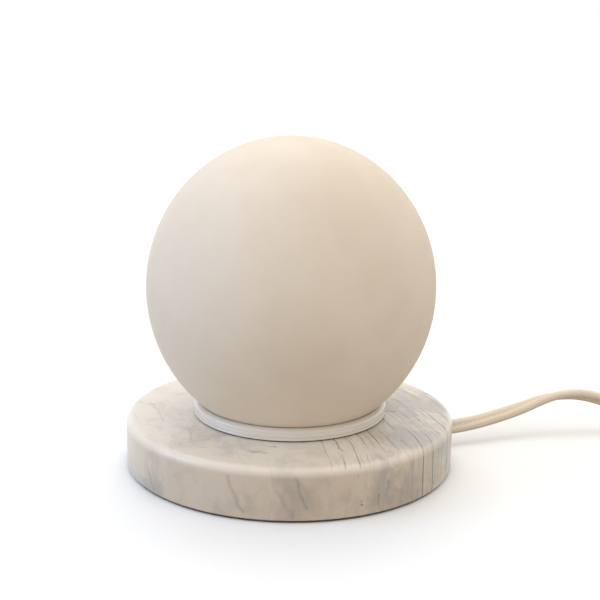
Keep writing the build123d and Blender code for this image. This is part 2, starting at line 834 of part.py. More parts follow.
with BuildPart() as switch_screws:
    with BuildSketch(switch_plane.offset(switch_wall)):
        with Locations(*boss_places):
            Circle(switch_screw_radius)
    extrude(amount=switch_screw_reach - switch_wall - switch_screw_sink)
    with BuildSketch(switch_plane.offset(switch_screw_sink)):
        with Locations(*boss_places):
            Circle(switch_screw_head)
    extrude(amount=switch_wall)

# ---------------------------------------------------------------------------- plug

plug_x = end_points[-1].X
plug_y = end_points[-1].Y
plug_face_x = plug_x - plug_length
half_width = plug_width / 2
half_tail = plug_tail_width / 2
plug_taper = plug_length - plug_front
pin_plane = Plane(origin=(plug_face_x, plug_y, plug_cord_z), z_dir=(-1, 0, 0), x_dir=(0, 1, 0))
pin_places = ((-pin_spacing / 2, 0), (pin_spacing / 2, 0))

with BuildPart() as plug_body:
    with BuildSketch(Plane(origin=(plug_face_x, plug_y, 0), z_dir=(0, 0, 1))):
        Polygon((0, -half_width), (plug_front, -half_width),
                (plug_front + 0.7 * plug_taper, -half_tail), (plug_length, -half_tail),
                (plug_length, half_tail), (plug_front + 0.7 * plug_taper, half_tail),
                (plug_front, half_width), (0, half_width), align=None)
    extrude(amount=plug_height)
    fillet(plug_body.edges().filter_by(Axis.Z), plug_corner)
    fillet(plug_body.faces().sort_by(Axis.Z)[-1].edges(), plug_edge_round)
    fillet(plug_body.faces().sort_by(Axis.Z)[0].edges(), plug_edge_round)
    with BuildSketch(pin_plane):
        with Locations(*pin_places):
            Circle(pin_core_radius)
    extrude(amount=-pin_rooted, mode=Mode.SUBTRACT)

with BuildPart() as plug_pins:
    with BuildSketch(pin_plane.offset(-pin_rooted)):
        with Locations(*pin_places):
            Circle(pin_core_radius)
    extrude(amount=pin_rooted + pin_length - pin_tip_round)
    with BuildSketch(pin_plane.offset(pin_sleeve_length)):
        with Locations(*pin_places):
            Circle(pin_radius)
    extrude(amount=pin_length - pin_sleeve_length)
    fillet(plug_pins.edges().group_by(Axis.X)[0], pin_tip_round)

with BuildPart() as plug_pin_sleeves:
    with BuildSketch(pin_plane):
        with Locations(*pin_places):
            Circle(pin_radius)
            Circle(pin_core_radius, mode=Mode.SUBTRACT)
    extrude(amount=pin_sleeve_length)

# ---------------------------------------------------------------------------- written out

marble_base.part.label = "marble_base"
export_step(marble_base.part, "parts/marble_base.step")
base_pad.part.label = "base_pad"
export_step(base_pad.part, "parts/base_pad.step")
dish_gasket.part.label = "dish_gasket"
export_step(dish_gasket.part, "parts/dish_gasket.step")
collar_dish.part.label = "collar_dish"
export_step(collar_dish.part, "parts/collar_dish.step")
seat_gasket.part.label = "seat_gasket"
export_step(seat_gasket.part, "parts/seat_gasket.step")
globe_glass.part.label = "globe_glass"
export_step(globe_glass.part, "parts/globe_glass.step")
threaded_tube.part.label = "threaded_tube"
export_step(threaded_tube.part, "parts/threaded_tube.step")
lower_washer.part.label = "lower_washer"
export_step(lower_washer.part, "parts/lower_washer.step")
upper_washer.part.label = "upper_washer"
export_step(upper_washer.part, "parts/upper_washer.step")
lower_nut.part.label = "lower_nut"
export_step(lower_nut.part, "parts/lower_nut.step")
upper_nut.part.label = "upper_nut"
export_step(upper_nut.part, "parts/upper_nut.step")
cord_bush.part.label = "cord_bush"
export_step(cord_bush.part, "parts/cord_bush.step")
cord_grip.part.label = "cord_grip"
export_step(cord_grip.part, "parts/cord_grip.step")
cord_grip_screw.part.label = "cord_grip_screw"
export_step(cord_grip_screw.part, "parts/cord_grip_screw.step")
live_wire.part.label = "live_wire"
export_step(live_wire.part, "parts/live_wire.step")
neutral_wire.part.label = "neutral_wire"
export_step(neutral_wire.part, "parts/neutral_wire.step")
holder_cap.part.label = "holder_cap"
export_step(holder_cap.part, "parts/holder_cap.step")
holder_shell.part.label = "holder_shell"
export_step(holder_shell.part, "parts/holder_shell.step")
holder_core.part.label = "holder_core"
export_step(holder_core.part, "parts/holder_core.step")
holder_sleeve.part.label = "holder_sleeve"
export_step(holder_sleeve.part, "parts/holder_sleeve.step")
centre_contact.part.label = "centre_contact"
export_step(centre_contact.part, "parts/centre_contact.step")
side_contact.part.label = "side_contact"
export_step(side_contact.part, "parts/side_contact.step")
terminal_blocks.part.label = "terminal_blocks"
export_step(terminal_blocks.part, "parts/terminal_blocks.step")
terminal_screws.part.label = "terminal_screws"
export_step(terminal_screws.part, "parts/terminal_screws.step")
bulb_contact.part.label = "bulb_contact"
export_step(bulb_contact.part, "parts/bulb_contact.step")
bulb_insulator.part.label = "bulb_insulator"
export_step(bulb_insulator.part, "parts/bulb_insulator.step")
bulb_cap.part.label = "bulb_cap"
export_step(bulb_cap.part, "parts/bulb_cap.step")
bulb_collar.part.label = "bulb_collar"
export_step(bulb_collar.part, "parts/bulb_collar.step")
bulb_glass.part.label = "bulb_glass"
export_step(bulb_glass.part, "parts/bulb_glass.step")
cord_lead.part.label = "cord_lead"
export_step(cord_lead.part, "parts/cord_lead.step")
cord_tail.part.label = "cord_tail"
export_step(cord_tail.part, "parts/cord_tail.step")
cord_coil.part.label = "cord_coil"
export_step(cord_coil.part, "parts/cord_coil.step")
cord_end.part.label = "cord_end"
export_step(cord_end.part, "parts/cord_end.step")
switch_bottom.part.label = "switch_bottom"
export_step(switch_bottom.part, "parts/switch_bottom.step")
switch_top.part.label = "switch_top"
export_step(switch_top.part, "parts/switch_top.step")
switch_rocker.part.label = "switch_rocker"
export_step(switch_rocker.part, "parts/switch_rocker.step")
switch_contacts.part.label = "switch_contacts"
export_step(switch_contacts.part, "parts/switch_contacts.step")
switch_screws.part.label = "switch_screws"
export_step(switch_screws.part, "parts/switch_screws.step")
plug_body.part.label = "plug_body"
export_step(plug_body.part, "parts/plug_body.step")
plug_pins.part.label = "plug_pins"
export_step(plug_pins.part, "parts/plug_pins.step")
plug_pin_sleeves.part.label = "plug_pin_sleeves"
export_step(plug_pin_sleeves.part, "parts/plug_pin_sleeves.step")
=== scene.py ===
import json
from math import asin, cos, pi, radians, sin, sqrt, tau

import bmesh
import bpy
import numpy as np
from mathutils import Matrix, Vector


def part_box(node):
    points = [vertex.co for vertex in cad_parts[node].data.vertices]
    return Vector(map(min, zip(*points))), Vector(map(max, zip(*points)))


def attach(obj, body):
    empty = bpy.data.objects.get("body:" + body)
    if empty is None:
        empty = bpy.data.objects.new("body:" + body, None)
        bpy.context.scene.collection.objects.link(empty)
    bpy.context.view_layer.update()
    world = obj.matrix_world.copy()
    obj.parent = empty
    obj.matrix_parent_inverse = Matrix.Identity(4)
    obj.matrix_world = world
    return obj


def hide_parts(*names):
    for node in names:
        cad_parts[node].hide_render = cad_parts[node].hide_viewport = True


# Looks of a table lamp: an opal glass globe in a white enamelled dish on a veined marble foot.
# Metres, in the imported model's frame: +Z up, the lamp seen from -Y, its cord leaving to the right.

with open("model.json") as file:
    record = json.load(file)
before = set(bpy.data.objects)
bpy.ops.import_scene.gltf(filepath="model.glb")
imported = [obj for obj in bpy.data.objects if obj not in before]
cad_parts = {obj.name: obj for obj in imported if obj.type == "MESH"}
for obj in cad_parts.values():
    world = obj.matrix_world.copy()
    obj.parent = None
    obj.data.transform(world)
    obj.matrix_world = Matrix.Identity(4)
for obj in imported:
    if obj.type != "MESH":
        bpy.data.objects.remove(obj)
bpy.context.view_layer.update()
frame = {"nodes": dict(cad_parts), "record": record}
nodes = frame["nodes"]

# ---------------- camera

PICTURE_SIDE = 600
FOCAL_LENGTH_PIXELS = 1125.77
OPTICAL_CENTRE_BELOW_MIDDLE = 13.14
CAMERA_PLACE = Vector((0.00472, -0.57195, 0.22070))
CAMERA_LOOKS_DOWN = radians(13.82)
CAMERA_ROLL = radians(0.84)


def make_camera():
    """The camera at the photograph's place, with its small roll and shift."""
    lens = bpy.data.cameras.new("camera")
    lens.sensor_width = 36
    lens.lens = FOCAL_LENGTH_PIXELS / PICTURE_SIDE * lens.sensor_width
    lens.shift_y = OPTICAL_CENTRE_BELOW_MIDDLE / PICTURE_SIDE
    lens.clip_start = 0.01
    camera = bpy.data.objects.new("camera", lens)
    bpy.context.scene.collection.objects.link(camera)
    level_right = Vector((1, 0, 0))
    forward = Vector((0, cos(CAMERA_LOOKS_DOWN), -sin(CAMERA_LOOKS_DOWN)))
    level_up = level_right.cross(forward)
    right = level_right * cos(CAMERA_ROLL) + level_up * sin(CAMERA_ROLL)
    up = level_up * cos(CAMERA_ROLL) - level_right * sin(CAMERA_ROLL)
    turn = Matrix((right, up, -forward)).transposed().to_4x4()
    camera.matrix_world = Matrix.Translation(CAMERA_PLACE) @ turn
    bpy.context.scene.camera = camera


# ---------------- node graphs


class Socket:
    """An output of a node. Arithmetic on it adds the Math nodes that the expression needs."""

    def __init__(self, graph, output):
        self.graph = graph
        self.output = output

    def out(self, key):
        """Another output of the same node."""
        return Socket(self.graph, self.output.node.outputs[key])

    def __add__(self, other):
        return self.graph.maths("ADD", self, other)

    def __radd__(self, other):
        return self.graph.maths("ADD", other, self)

    def __sub__(self, other):
        return self.graph.maths("SUBTRACT", self, other)

    def __rsub__(self, other):
        return self.graph.maths("SUBTRACT", other, self)

    def __mul__(self, other):
        return self.graph.maths("MULTIPLY", self, other)

    def __rmul__(self, other):
        return self.graph.maths("MULTIPLY", other, self)

    def __truediv__(self, other):
        return self.graph.maths("DIVIDE", self, other)

    def __neg__(self):
        return self.graph.maths("MULTIPLY", self, -1)

    def __abs__(self):
        return self.graph.maths("ABSOLUTE", self)


class Graph:
    """A tree of nodes, for a material's shader or for Geometry Nodes."""

    def __init__(self, tree):
        self.tree = tree

    def node(self, kind, settings=None, *values, out=0, **named):
        """Adds a node: its settings first, then its sockets by order or by name."""
        made = self.tree.nodes.new(kind)
        for key, value in (settings or {}).items():
            if key == "stops":
                self.set_stops(made.color_ramp, value)
            else:
                setattr(made, key, value)
        for key, value in [*enumerate(values), *named.items()]:
            socket = made.inputs[key if isinstance(key, int) else key.replace("_", " ")]
            if isinstance(value, Socket):
                self.tree.links.new(value.output, socket)
            elif value is not None:
                socket.default_value = value
        return Socket(self, made.outputs[out]) if made.outputs else None

    def set_stops(self, ramp, stops):
        """Gives a colour ramp its stops, each a position and a colour."""
        while len(ramp.elements) < len(stops):
            ramp.elements.new(1)
        for element, (position, colour) in zip(ramp.elements, stops):
            element.position = position
            element.color = (*colour, 1)

    def maths(self, operation, *values):
        return self.node("ShaderNodeMath", {"operation": operation}, *values)

    def vector_maths(self, operation, *values):
        return self.node("ShaderNodeVectorMath", {"operation": operation}, *values)

    def scaled(self, vector, by):
        return self.node("ShaderNodeVectorMath", {"operation": "SCALE"}, vector, Scale=by)

    def distance(self, first, second):
        return self.node("ShaderNodeVectorMath", {"operation": "DISTANCE"}, first, second, out="Value")

    def distance_to_line(self, at, start, end):
        """From a place to the nearest point between start and end."""
        way = end - start
        away = self.vector_maths("SUBTRACT", at, start)
        dot = self.node("ShaderNodeVectorMath", {"operation": "DOT_PRODUCT"}, away, way, out="Value")
        share = self.node("ShaderNodeClamp", None, dot / way.length_squared)
        return self.distance(away, self.scaled(way, share))

    def split(self, vector):
        """The three coordinates of a vector."""
        first = self.node("ShaderNodeSeparateXYZ", None, vector)
        return first, first.out(1), first.out(2)

    def join(self, x, y, z):
        return self.node("ShaderNodeCombineXYZ", None, x, y, z)

    def rise(self, value, low, high):
        """0 below low, 1 above high, and a smooth step between them."""
        return self.node("ShaderNodeMapRange", {"interpolation_type": "SMOOTHSTEP"}, value, low, high)

    def noise(self, at, scale, detail=2, roughness=0.5, distortion=0):
        """Smooth noise about 0.5. Scale counts its waves in a metre."""
        return self.node("ShaderNodeTexNoise", None, Vector=at, Scale=scale, Detail=detail,
                         Roughness=roughness, Distortion=distortion)

    def stretched(self, at, x, y, z):
        """A place scaled on each axis, for grain that runs one way."""
        return self.node("ShaderNodeMapping", None, Vector=at, Scale=(x, y, z))

    def mix(self, share, first, second, how="MIX"):
        """Two colours mixed. A colour is three numbers or a socket."""
        made = self.node("ShaderNodeMix", {"data_type": "RGBA", "blend_type": how}, out=2)
        keys = {0: share, 6: first, 7: second}
        for key, value in keys.items():
            socket = made.output.node.inputs[key]
            if isinstance(value, Socket):
                self.tree.links.new(value.output, socket)
            else:
                socket.default_value = (*value, 1) if isinstance(value, tuple) else value
        return made


class Finish(Graph):
    """A material with one Principled shader, whose even properties are set on its own sockets."""

    def __init__(self, name, **even):
        self.material = bpy.data.materials.new(name)
        self.material.use_nodes = True
        super().__init__(self.material.node_tree)
        self.tree.nodes.clear()
        self.shader = self.tree.nodes.new("ShaderNodeBsdfPrincipled")
        output = self.tree.nodes.new("ShaderNodeOutputMaterial")
        self.tree.links.new(self.shader.outputs[0], output.inputs["Surface"])
        for key, value in even.items():
            self.shader.inputs[key.replace("_", " ")].default_value = value
        self.at = self.node("ShaderNodeTexCoord", out="Object")

    def dress(self, height=None, distance=0.0002, strength=1.0, **varying):
        """Links what changes over the surface, and a height through a Bump node."""
        for key, value in varying.items():
            self.tree.links.new(value.output, self.shader.inputs[key.replace("_", " ")])
        if height is not None:
            bump = self.node("ShaderNodeBump", None, Strength=strength, Distance=distance,
                             Height=height)
            self.tree.links.new(bump.output, self.shader.inputs["Normal"])
        return self.material


# ---------------- the cord's route

CORD_WIDTH = 0.008
CORD_LOBE_RADIUS = 0.0024
CORD_LOBE_OFFSET = CORD_WIDTH / 2 - CORD_LOBE_RADIUS

LEAD_START = Vector((0.0673, 0.0193, 0.0086))
STRIPPED_END = Vector((0.02115, 0.00606, 0.0086))
LEAD_ROUTE = [Vector(place) for place in (
    LEAD_START,
    (0.0942, 0.0270, 0.0086),
    (0.1290, 0.0440, 0.0132),
    (0.1525, 0.0535, 0.0202),
    (0.1755, 0.0560, 0.0202),
    (0.2065, 0.0500, 0.0080),
    (0.2280, 0.0500, 0.0080),
)]
TAIL_ROUTE = [Vector(place) for place in (
    (0.2720, 0.0500, 0.0080),
    (0.2955, 0.0500, 0.0080),
    (0.3165, 0.0380, 0.00495),
    (0.3275, 0.0165, 0.00405),
    (0.3290, -0.0130, 0.00405),
)]
END_ROUTE = [Vector(place) for place in (
    (0.2605, -0.1030, 0.01255),
    (0.2470, -0.1030, 0.01255),
    (0.2295, -0.1030, 0.00685),
    (0.2145, -0.1030, 0.00685),
)]
COIL_CENTRE_Y = -0.051
COIL_START_X = 0.329
COIL_RADIUS = 0.052
COIL_RUN_IN = 0.003
TURN_PITCH = 0.0085
LOW_LAYER = 0.00405
INWARD_HALF_TURNS = 5
OUTWARD_HALF_TURNS = 4
STEPS_IN_HALF_TURN = 12


def coil_route():
    """The coil's turns, clockwise seen from above: in on the surface, up a layer and out again."""
    start_x = COIL_START_X
    radius = COIL_RADIUS
    side = 1
    height = LOW_LAYER
    points = [Vector((start_x, COIL_CENTRE_Y + COIL_RUN_IN, height))]
    for half_turn in range(INWARD_HALF_TURNS + 1 + OUTWARD_HALF_TURNS):
        climb = TURN_PITCH if half_turn == INWARD_HALF_TURNS else 0
        centre_x = start_x - side * radius
        points += arc_route(centre_x, side * radius, height, climb, STEPS_IN_HALF_TURN)
        height += climb
        start_x = centre_x - side * radius
        radius += -TURN_PITCH / 2 if half_turn < INWARD_HALF_TURNS else TURN_PITCH / 2
        side = -side
    return points + arc_route(start_x - side * radius, side * radius, height, 0,
                              STEPS_IN_HALF_TURN // 2)


def arc_route(centre_x, radius, height, climb, steps):
    """Points of part of a half turn. They stand a little outside the arc that they lead round."""
    reach = radius / cos(pi / STEPS_IN_HALF_TURN / 2)
    points = []
    for step in range(steps):
        turned = (step + 0.5) / STEPS_IN_HALF_TURN
        points.append(Vector((centre_x + reach * cos(pi * turned),
                              COIL_CENTRE_Y - reach * sin(pi * turned), height + climb * turned)))
    return points


def lay_route(name, points, resolution):
    """A smooth spline with the route's points as its control points."""
    curve = bpy.data.curves.new(name, "CURVE")
    curve.dimensions = "3D"
    spline = curve.splines.new("NURBS")
    spline.points.add(len(points) - 1)
    for control, place in zip(spline.points, points):
        control.co = (*place, 1)
    spline.order_u = 3
    spline.use_endpoint_u = True
    spline.resolution_u = resolution
    return bpy.data.objects.new(name, curve)


def read_route(route):
    """Points along a spline, in order, as its plain mesh gives them."""
    bpy.context.scene.collection.objects.link(route)
    mesh = bpy.data.meshes.new_from_object(route.evaluated_get(
        bpy.context.evaluated_depsgraph_get()))
    places = [vertex.co.copy() for vertex in mesh.vertices]
    bpy.data.objects.remove(route)
    bpy.data.meshes.remove(mesh)
    return places


def lengths_along(places):
    steps = [(after - before).length for before, after in zip(places, places[1:])]
    return np.concatenate([[0], np.cumsum(steps)])


# ---------------- the cord's mesh

SECTION_STEPS = 32
STITCH_LIFT = 0.00025
STITCH_PITCH = 0.0016
STITCH_REACH = 0.0022
STITCH_THICKNESS = 0.00065
STITCH_SLANT = 0.9


def lobed_section():
    """Outline of the flat twin cord, as (across the width, across the thickness)."""
    outline = []
    for step in range(SECTION_STEPS):
        angle = tau * step / SECTION_STEPS
        wide = CORD_LOBE_OFFSET * abs(cos(angle))
        reach = wide + sqrt(CORD_LOBE_RADIUS ** 2 - (CORD_LOBE_OFFSET * sin(angle)) ** 2)
        outline.append((reach * cos(angle), reach * sin(angle)))
    return outline


def edge_lengths(outline):
    """Length of each edge of a closed outline."""
    return [(Vector(after) - Vector(before)).length
            for before, after in zip(outline, outline[1:] + outline[:1])]


def cord_frames(places, lean):
    """For each point of a cord: its tangent, the section's width and its thickness directions."""
    count = len(places)
    frames = []
    for index in range(count):
        along = (places[min(index + 1, count - 1)] - places[max(index - 1, 0)]).normalized()
        upright = Vector((0, 0, 1))
        upright = (upright - along * upright.dot(along)).normalized()
        sideways = along.cross(upright)
        width = upright * cos(lean[index]) + sideways * sin(lean[index])
        frames.append((along, width, along.cross(width)))
    return frames


def weave_cord(name, places, lean, swell=None):
    """Mesh round a route, with a UV map in metres along and round it. Swell widens each section."""
    outline = lobed_section()
    swell = swell or [0] * len(places)
    frames = cord_frames(places, lean)
    made = bmesh.new()
    rings = []
    for place, (along, width, thick), extra in zip(places, frames, swell):
        ring = []
        for w, t in outline:
            grown = 1 + extra / sqrt(w * w + t * t)
            ring.append(made.verts.new(place + (width * w + thick * t) * grown))
        rings.append(ring)
    round_cord = np.concatenate([[0], np.cumsum(edge_lengths(outline))])
    skin_rings(made, rings, lengths_along(places), round_cord)
    return piece_from(made, name)


def skin_rings(made, rings, along_cord, round_cord):
    """Faces between rings of points, closed at both ends, with their UV map."""
    uv = made.loops.layers.uv.new("weave")
    for row in range(len(rings) - 1):
        for column in range(SECTION_STEPS):
            after = (column + 1) % SECTION_STEPS
            face = made.faces.new((rings[row][column], rings[row][after],
                                   rings[row + 1][after], rings[row + 1][column]))
            spots = ((row, column), (row, column + 1), (row + 1, column + 1), (row + 1, column))
            for loop, (spot_row, spot_column) in zip(face.loops, spots):
                loop[uv].uv = (along_cord[spot_row], round_cord[spot_column])
    made.faces.new(rings[0])
    made.faces.new(list(reversed(rings[-1])))
    bmesh.ops.recalc_face_normals(made, faces=made.faces)


def piece_from(made, name, sharp_angle=radians(40)):
    """A smooth-shaded object from a bmesh, with its sharp edges kept."""
    mesh = bpy.data.meshes.new(name)
    made.to_mesh(mesh)
    made.free()
    for face in mesh.polygons:
        face.use_smooth = True
    mesh.set_sharp_from_angle(angle=sharp_angle)
    piece = bpy.data.objects.new(name, mesh)
    bpy.context.scene.collection.objects.link(piece)
    return piece


# ---------------- Geometry Nodes


def geometry_tree(name, inputs):
    """An empty tree with named inputs, each a name and a kind of socket. Returns its graph and them."""
    tree = bpy.data.node_groups.new(name, "GeometryNodeTree")
    for label, kind in inputs:
        tree.interface.new_socket(label, in_out="INPUT", socket_type="NodeSocket" + kind)
    tree.interface.new_socket("Mesh", in_out="OUTPUT", socket_type="NodeSocketGeometry")
    graph = Graph(tree)
    entry = graph.node("NodeGroupInput")
    return graph, [entry.out(label) for label, kind in inputs]


def end_tree(graph, shape, finish):
    """Ends a tree with real faces and their material."""
    real = graph.node("GeometryNodeRealizeInstances", None, shape)
    dressed = graph.node("GeometryNodeSetMaterial", None, Geometry=real, Material=finish)
    graph.node("NodeGroupOutput", None, dressed)
    return graph.tree


def grow(tree, source, name, sharp_angle=radians(40), **inputs):
    """Runs a tree on a source mesh and keeps the result as a plain piece."""
    holder = bpy.data.objects.new(name + "_source", source)
    bpy.context.scene.collection.objects.link(holder)
    modifier = holder.modifiers.new("grow", "NODES")
    modifier.node_group = tree
    sockets = {item.name: item.identifier for item in tree.interface.items_tree
               if item.in_out == "INPUT"}
    for label, value in inputs.items():
        modifier[sockets[label.replace("_", " ")]] = value
    depsgraph = bpy.context.evaluated_depsgraph_get()
    mesh = bpy.data.meshes.new_from_object(holder.evaluated_get(depsgraph),
                                           preserve_all_data_layers=True, depsgraph=depsgraph)
    bpy.data.objects.remove(holder)
    finishes = list(mesh.materials)
    made = bmesh.new()
    made.from_mesh(mesh)
    bmesh.ops.recalc_face_normals(made, faces=made.faces)
    piece = piece_from(made, name, sharp_angle)
    for finish in finishes:
        piece.data.materials.append(finish)
    bpy.data.meshes.remove(mesh)
    return piece


def line_mesh(name, places, closed=False):
    """A mesh of points joined in a row."""
    mesh = bpy.data.meshes.new(name)
    edges = [(index, index + 1) for index in range(len(places) - 1)]
    if closed:
        edges.append((len(places) - 1, 0))
    mesh.from_pydata([tuple(place) for place in places], edges, [])
    return mesh


def turning_tree():
    """Turns a profile of points round the Z axis, with a screw thread where one is asked for."""
    graph, (profile, steps, pitch, depth, low, high, finish) = geometry_tree("turning", [
        ("Profile", "Geometry"), ("Steps", "Int"), ("Thread Pitch", "Float"),
        ("Thread Depth", "Float"), ("Thread Low", "Float"), ("Thread High", "Float"),
        ("Finish", "Material")])
    rows = graph.node("GeometryNodeAttributeDomainSize", {"component": "MESH"}, profile)
    grid = graph.node("GeometryNodeMeshGrid", None, 1.0, 1.0, steps + 1, rows)
    place = graph.node("GeometryNodeInputPosition")
    across, down, _ = graph.split(place)
    row = graph.maths("ROUND", (down + 0.5) * (rows - 1))
    sample = graph.node("GeometryNodeSampleIndex", {"data_type": "FLOAT_VECTOR"}, Geometry=profile,
                        Value=place, Index=row)
    radius, _, height = graph.split(sample)
    turned = across + 0.5
    angle = turned * tau
    wave = 0.5 - 0.5 * graph.maths("COSINE", (height / pitch - turned) * tau)
    threaded = graph.rise(height, low, low + pitch) * (1 - graph.rise(height, high - pitch, high))
    radius = radius + depth * wave * threaded
    spot = graph.join(radius * graph.maths("COSINE", angle), radius * graph.maths("SINE", angle),
                      height)
    shape = graph.node("GeometryNodeSetPosition", None, Geometry=grid, Position=spot)
    shape = graph.node("GeometryNodeMergeByDistance", None, Geometry=shape, Distance=1e-7)
    return end_tree(graph, shape, finish)


def turn_profile(name, profile, finish, steps=128, thread=None, sharp_angle=radians(40)):
    """A turned piece. The thread is its pitch, depth, lowest and highest level."""
    pitch, depth, low, high = thread or (1.0, 0.0, 0.0, 1.0)
    source = line_mesh(name + "_profile", [(radius, 0, height) for radius, height in profile])
    return grow(TURNING, source, name, sharp_angle, Steps=steps, Thread_Pitch=pitch,
                Thread_Depth=depth, Thread_Low=low, Thread_High=high, Finish=finish)


def arc(centre, radius, start, end, steps):
    """Points of an arc in a profile, its angles in degrees from the radius outwards."""
    angles = [radians(start + (end - start) * step / steps) for step in range(steps + 1)]
    return [(centre[0] + radius * cos(angle), centre[1] + radius * sin(angle)) for angle in angles]


def stitching_tree():
    """Slanting stitches, one way and the other in turn, along a line that holds its own outward side."""
    graph, (line, pitch, reach, thick, slant, finish) = geometry_tree("stitching", [
        ("Line", "Geometry"), ("Pitch", "Float"), ("Reach", "Float"), ("Thickness", "Float"),
        ("Slant", "Float"), ("Finish", "Material")])
    path = graph.node("GeometryNodeMeshToCurve", None, Mesh=line)
    path = graph.node("GeometryNodeResampleCurve", {"mode": "LENGTH"}, Curve=path, Length=pitch)
    along = graph.node("GeometryNodeInputTangent")
    outward = graph.node("GeometryNodeInputNamedAttribute", {"data_type": "FLOAT_VECTOR"},
                         Name="outward")
    order = graph.node("GeometryNodeInputIndex")
    flip = graph.maths("MODULO", order, 2.0) * 2 - 1
    beside = graph.vector_maths("CROSS_PRODUCT", outward, along)
    way = graph.vector_maths("ADD", along, graph.scaled(beside, flip * slant))
    turn = graph.node("FunctionNodeAlignRotationToVector", {"axis": "X"}, Vector=way)
    turn = graph.node("FunctionNodeAlignRotationToVector", {"axis": "Z", "pivot_axis": "X"},
                      Rotation=turn, Vector=outward)
    bead = graph.node("GeometryNodeMeshUVSphere", None, Segments=6, Rings=4, Radius=0.5)
    size = graph.join(reach, thick, thick)
    shape = graph.node("GeometryNodeInstanceOnPoints", None, Points=path, Instance=bead,
                       Rotation=turn, Scale=size)
    return end_tree(graph, shape, finish)


def stitch_line(name, places, lean, side):
    """The bottom of the groove between the cord's lobes, on one side, as a line for stitching."""
    valley = sqrt(CORD_LOBE_RADIUS ** 2 - CORD_LOBE_OFFSET ** 2) + STITCH_LIFT
    frames = cord_frames(places, lean)
    mesh = line_mesh(name, [place + thick * side * valley
                            for place, (along, width, thick) in zip(places, frames)])
    outward = mesh.attributes.new("outward", "FLOAT_VECTOR", "POINT")
    outward.data.foreach_set("vector", [value for along, width, thick in frames
                                        for value in thick * side])
    return mesh


# ---------------- finishes


def speckled(name, colour, tint, roughness, grain=900, patch=60, bump=0.00002, seam=None, **even):
    """An even moulded or sprayed finish, with slight patches, fine grain and worn roughness.

    A seam is the level of the fine dark line where two mouldings meet."""
    finish = Finish(name, **even)
    patches = finish.noise(finish.at, patch, 3)
    grains = finish.noise(finish.at, grain, 2)
    shade = finish.mix(finish.rise(patches, 0.3, 0.7) * 0.6 + grains * 0.2, colour, tint)
    if seam:
        level = finish.split(finish.at)[2]
        line = 1 - finish.rise(abs(level - seam), 0.00008, 0.00020)
        shade = finish.mix(line * 0.65, shade, (0.22, 0.17, 0.12))
    rough = roughness + 0.10 * (patches - 0.5) + 0.06 * (grains - 0.5)
    return finish.dress(Base_Color=shade, Roughness=rough, height=grains, distance=bump)


def brushed(name, colour, tint, roughness, **even):
    """Turned or drawn metal: fine rings round the lamp's axis over faint tarnish."""
    finish = Finish(name, **even)
    rings = finish.noise(finish.stretched(finish.at, 60, 60, 3000), 1, 2)
    tarnish = finish.noise(finish.at, 240, 3)
    shade = finish.mix(finish.rise(tarnish, 0.35, 0.75), colour, tint)
    rough = roughness + 0.18 * (rings - 0.5) + 0.12 * (tarnish - 0.5)
    return finish.dress(Base_Color=shade, Roughness=rough, height=rings, distance=0.00001)


def opal_glass():
    """Matt etched opal glass: cream, with soft cloudy patches and a fine etched tooth."""
    finish = Finish("opal_glass", Specular_IOR_Level=0.35)
    clouds = finish.noise(finish.at, 22, 4, 0.55)
    blotches = finish.noise(finish.at, 70, 3, 0.5)
    tooth = finish.noise(finish.at, 1600, 2)
    share = finish.rise(clouds * 0.7 + blotches * 0.3, 0.36, 0.66)
    shade = finish.mix(share, (0.815, 0.730, 0.618), (0.780, 0.688, 0.568))
    rough = 0.62 + 0.10 * (blotches - 0.5)
    return finish.dress(Base_Color=shade, Roughness=rough, height=tooth, distance=0.00001)


def white_enamel():
    """Glossy white enamel on spun metal, with faint streaks that run round it."""
    finish = Finish("white_enamel", Specular_IOR_Level=0.6, Coat_Weight=0.6, Coat_Roughness=0.10)
    streaks = finish.noise(finish.stretched(finish.at, 20, 20, 1100), 1, 3, 0.55)
    patches = finish.noise(finish.at, 60, 2)
    shade = finish.mix(finish.rise(streaks, 0.35, 0.75),
                       (0.715, 0.678, 0.625), (0.670, 0.628, 0.570))
    shade = finish.mix(finish.rise(patches, 0.5, 0.8) * 0.3, shade, (0.68, 0.63, 0.56))
    rough = 0.20 + 0.14 * streaks
    return finish.dress(Base_Color=shade, Roughness=rough, height=streaks, distance=0.00001)


STONE_TOP = 0.0269
VEIN_SPACING = 0.00695
FIRST_VEIN = 0.0100
VEINS_BEND_AT = 0.060

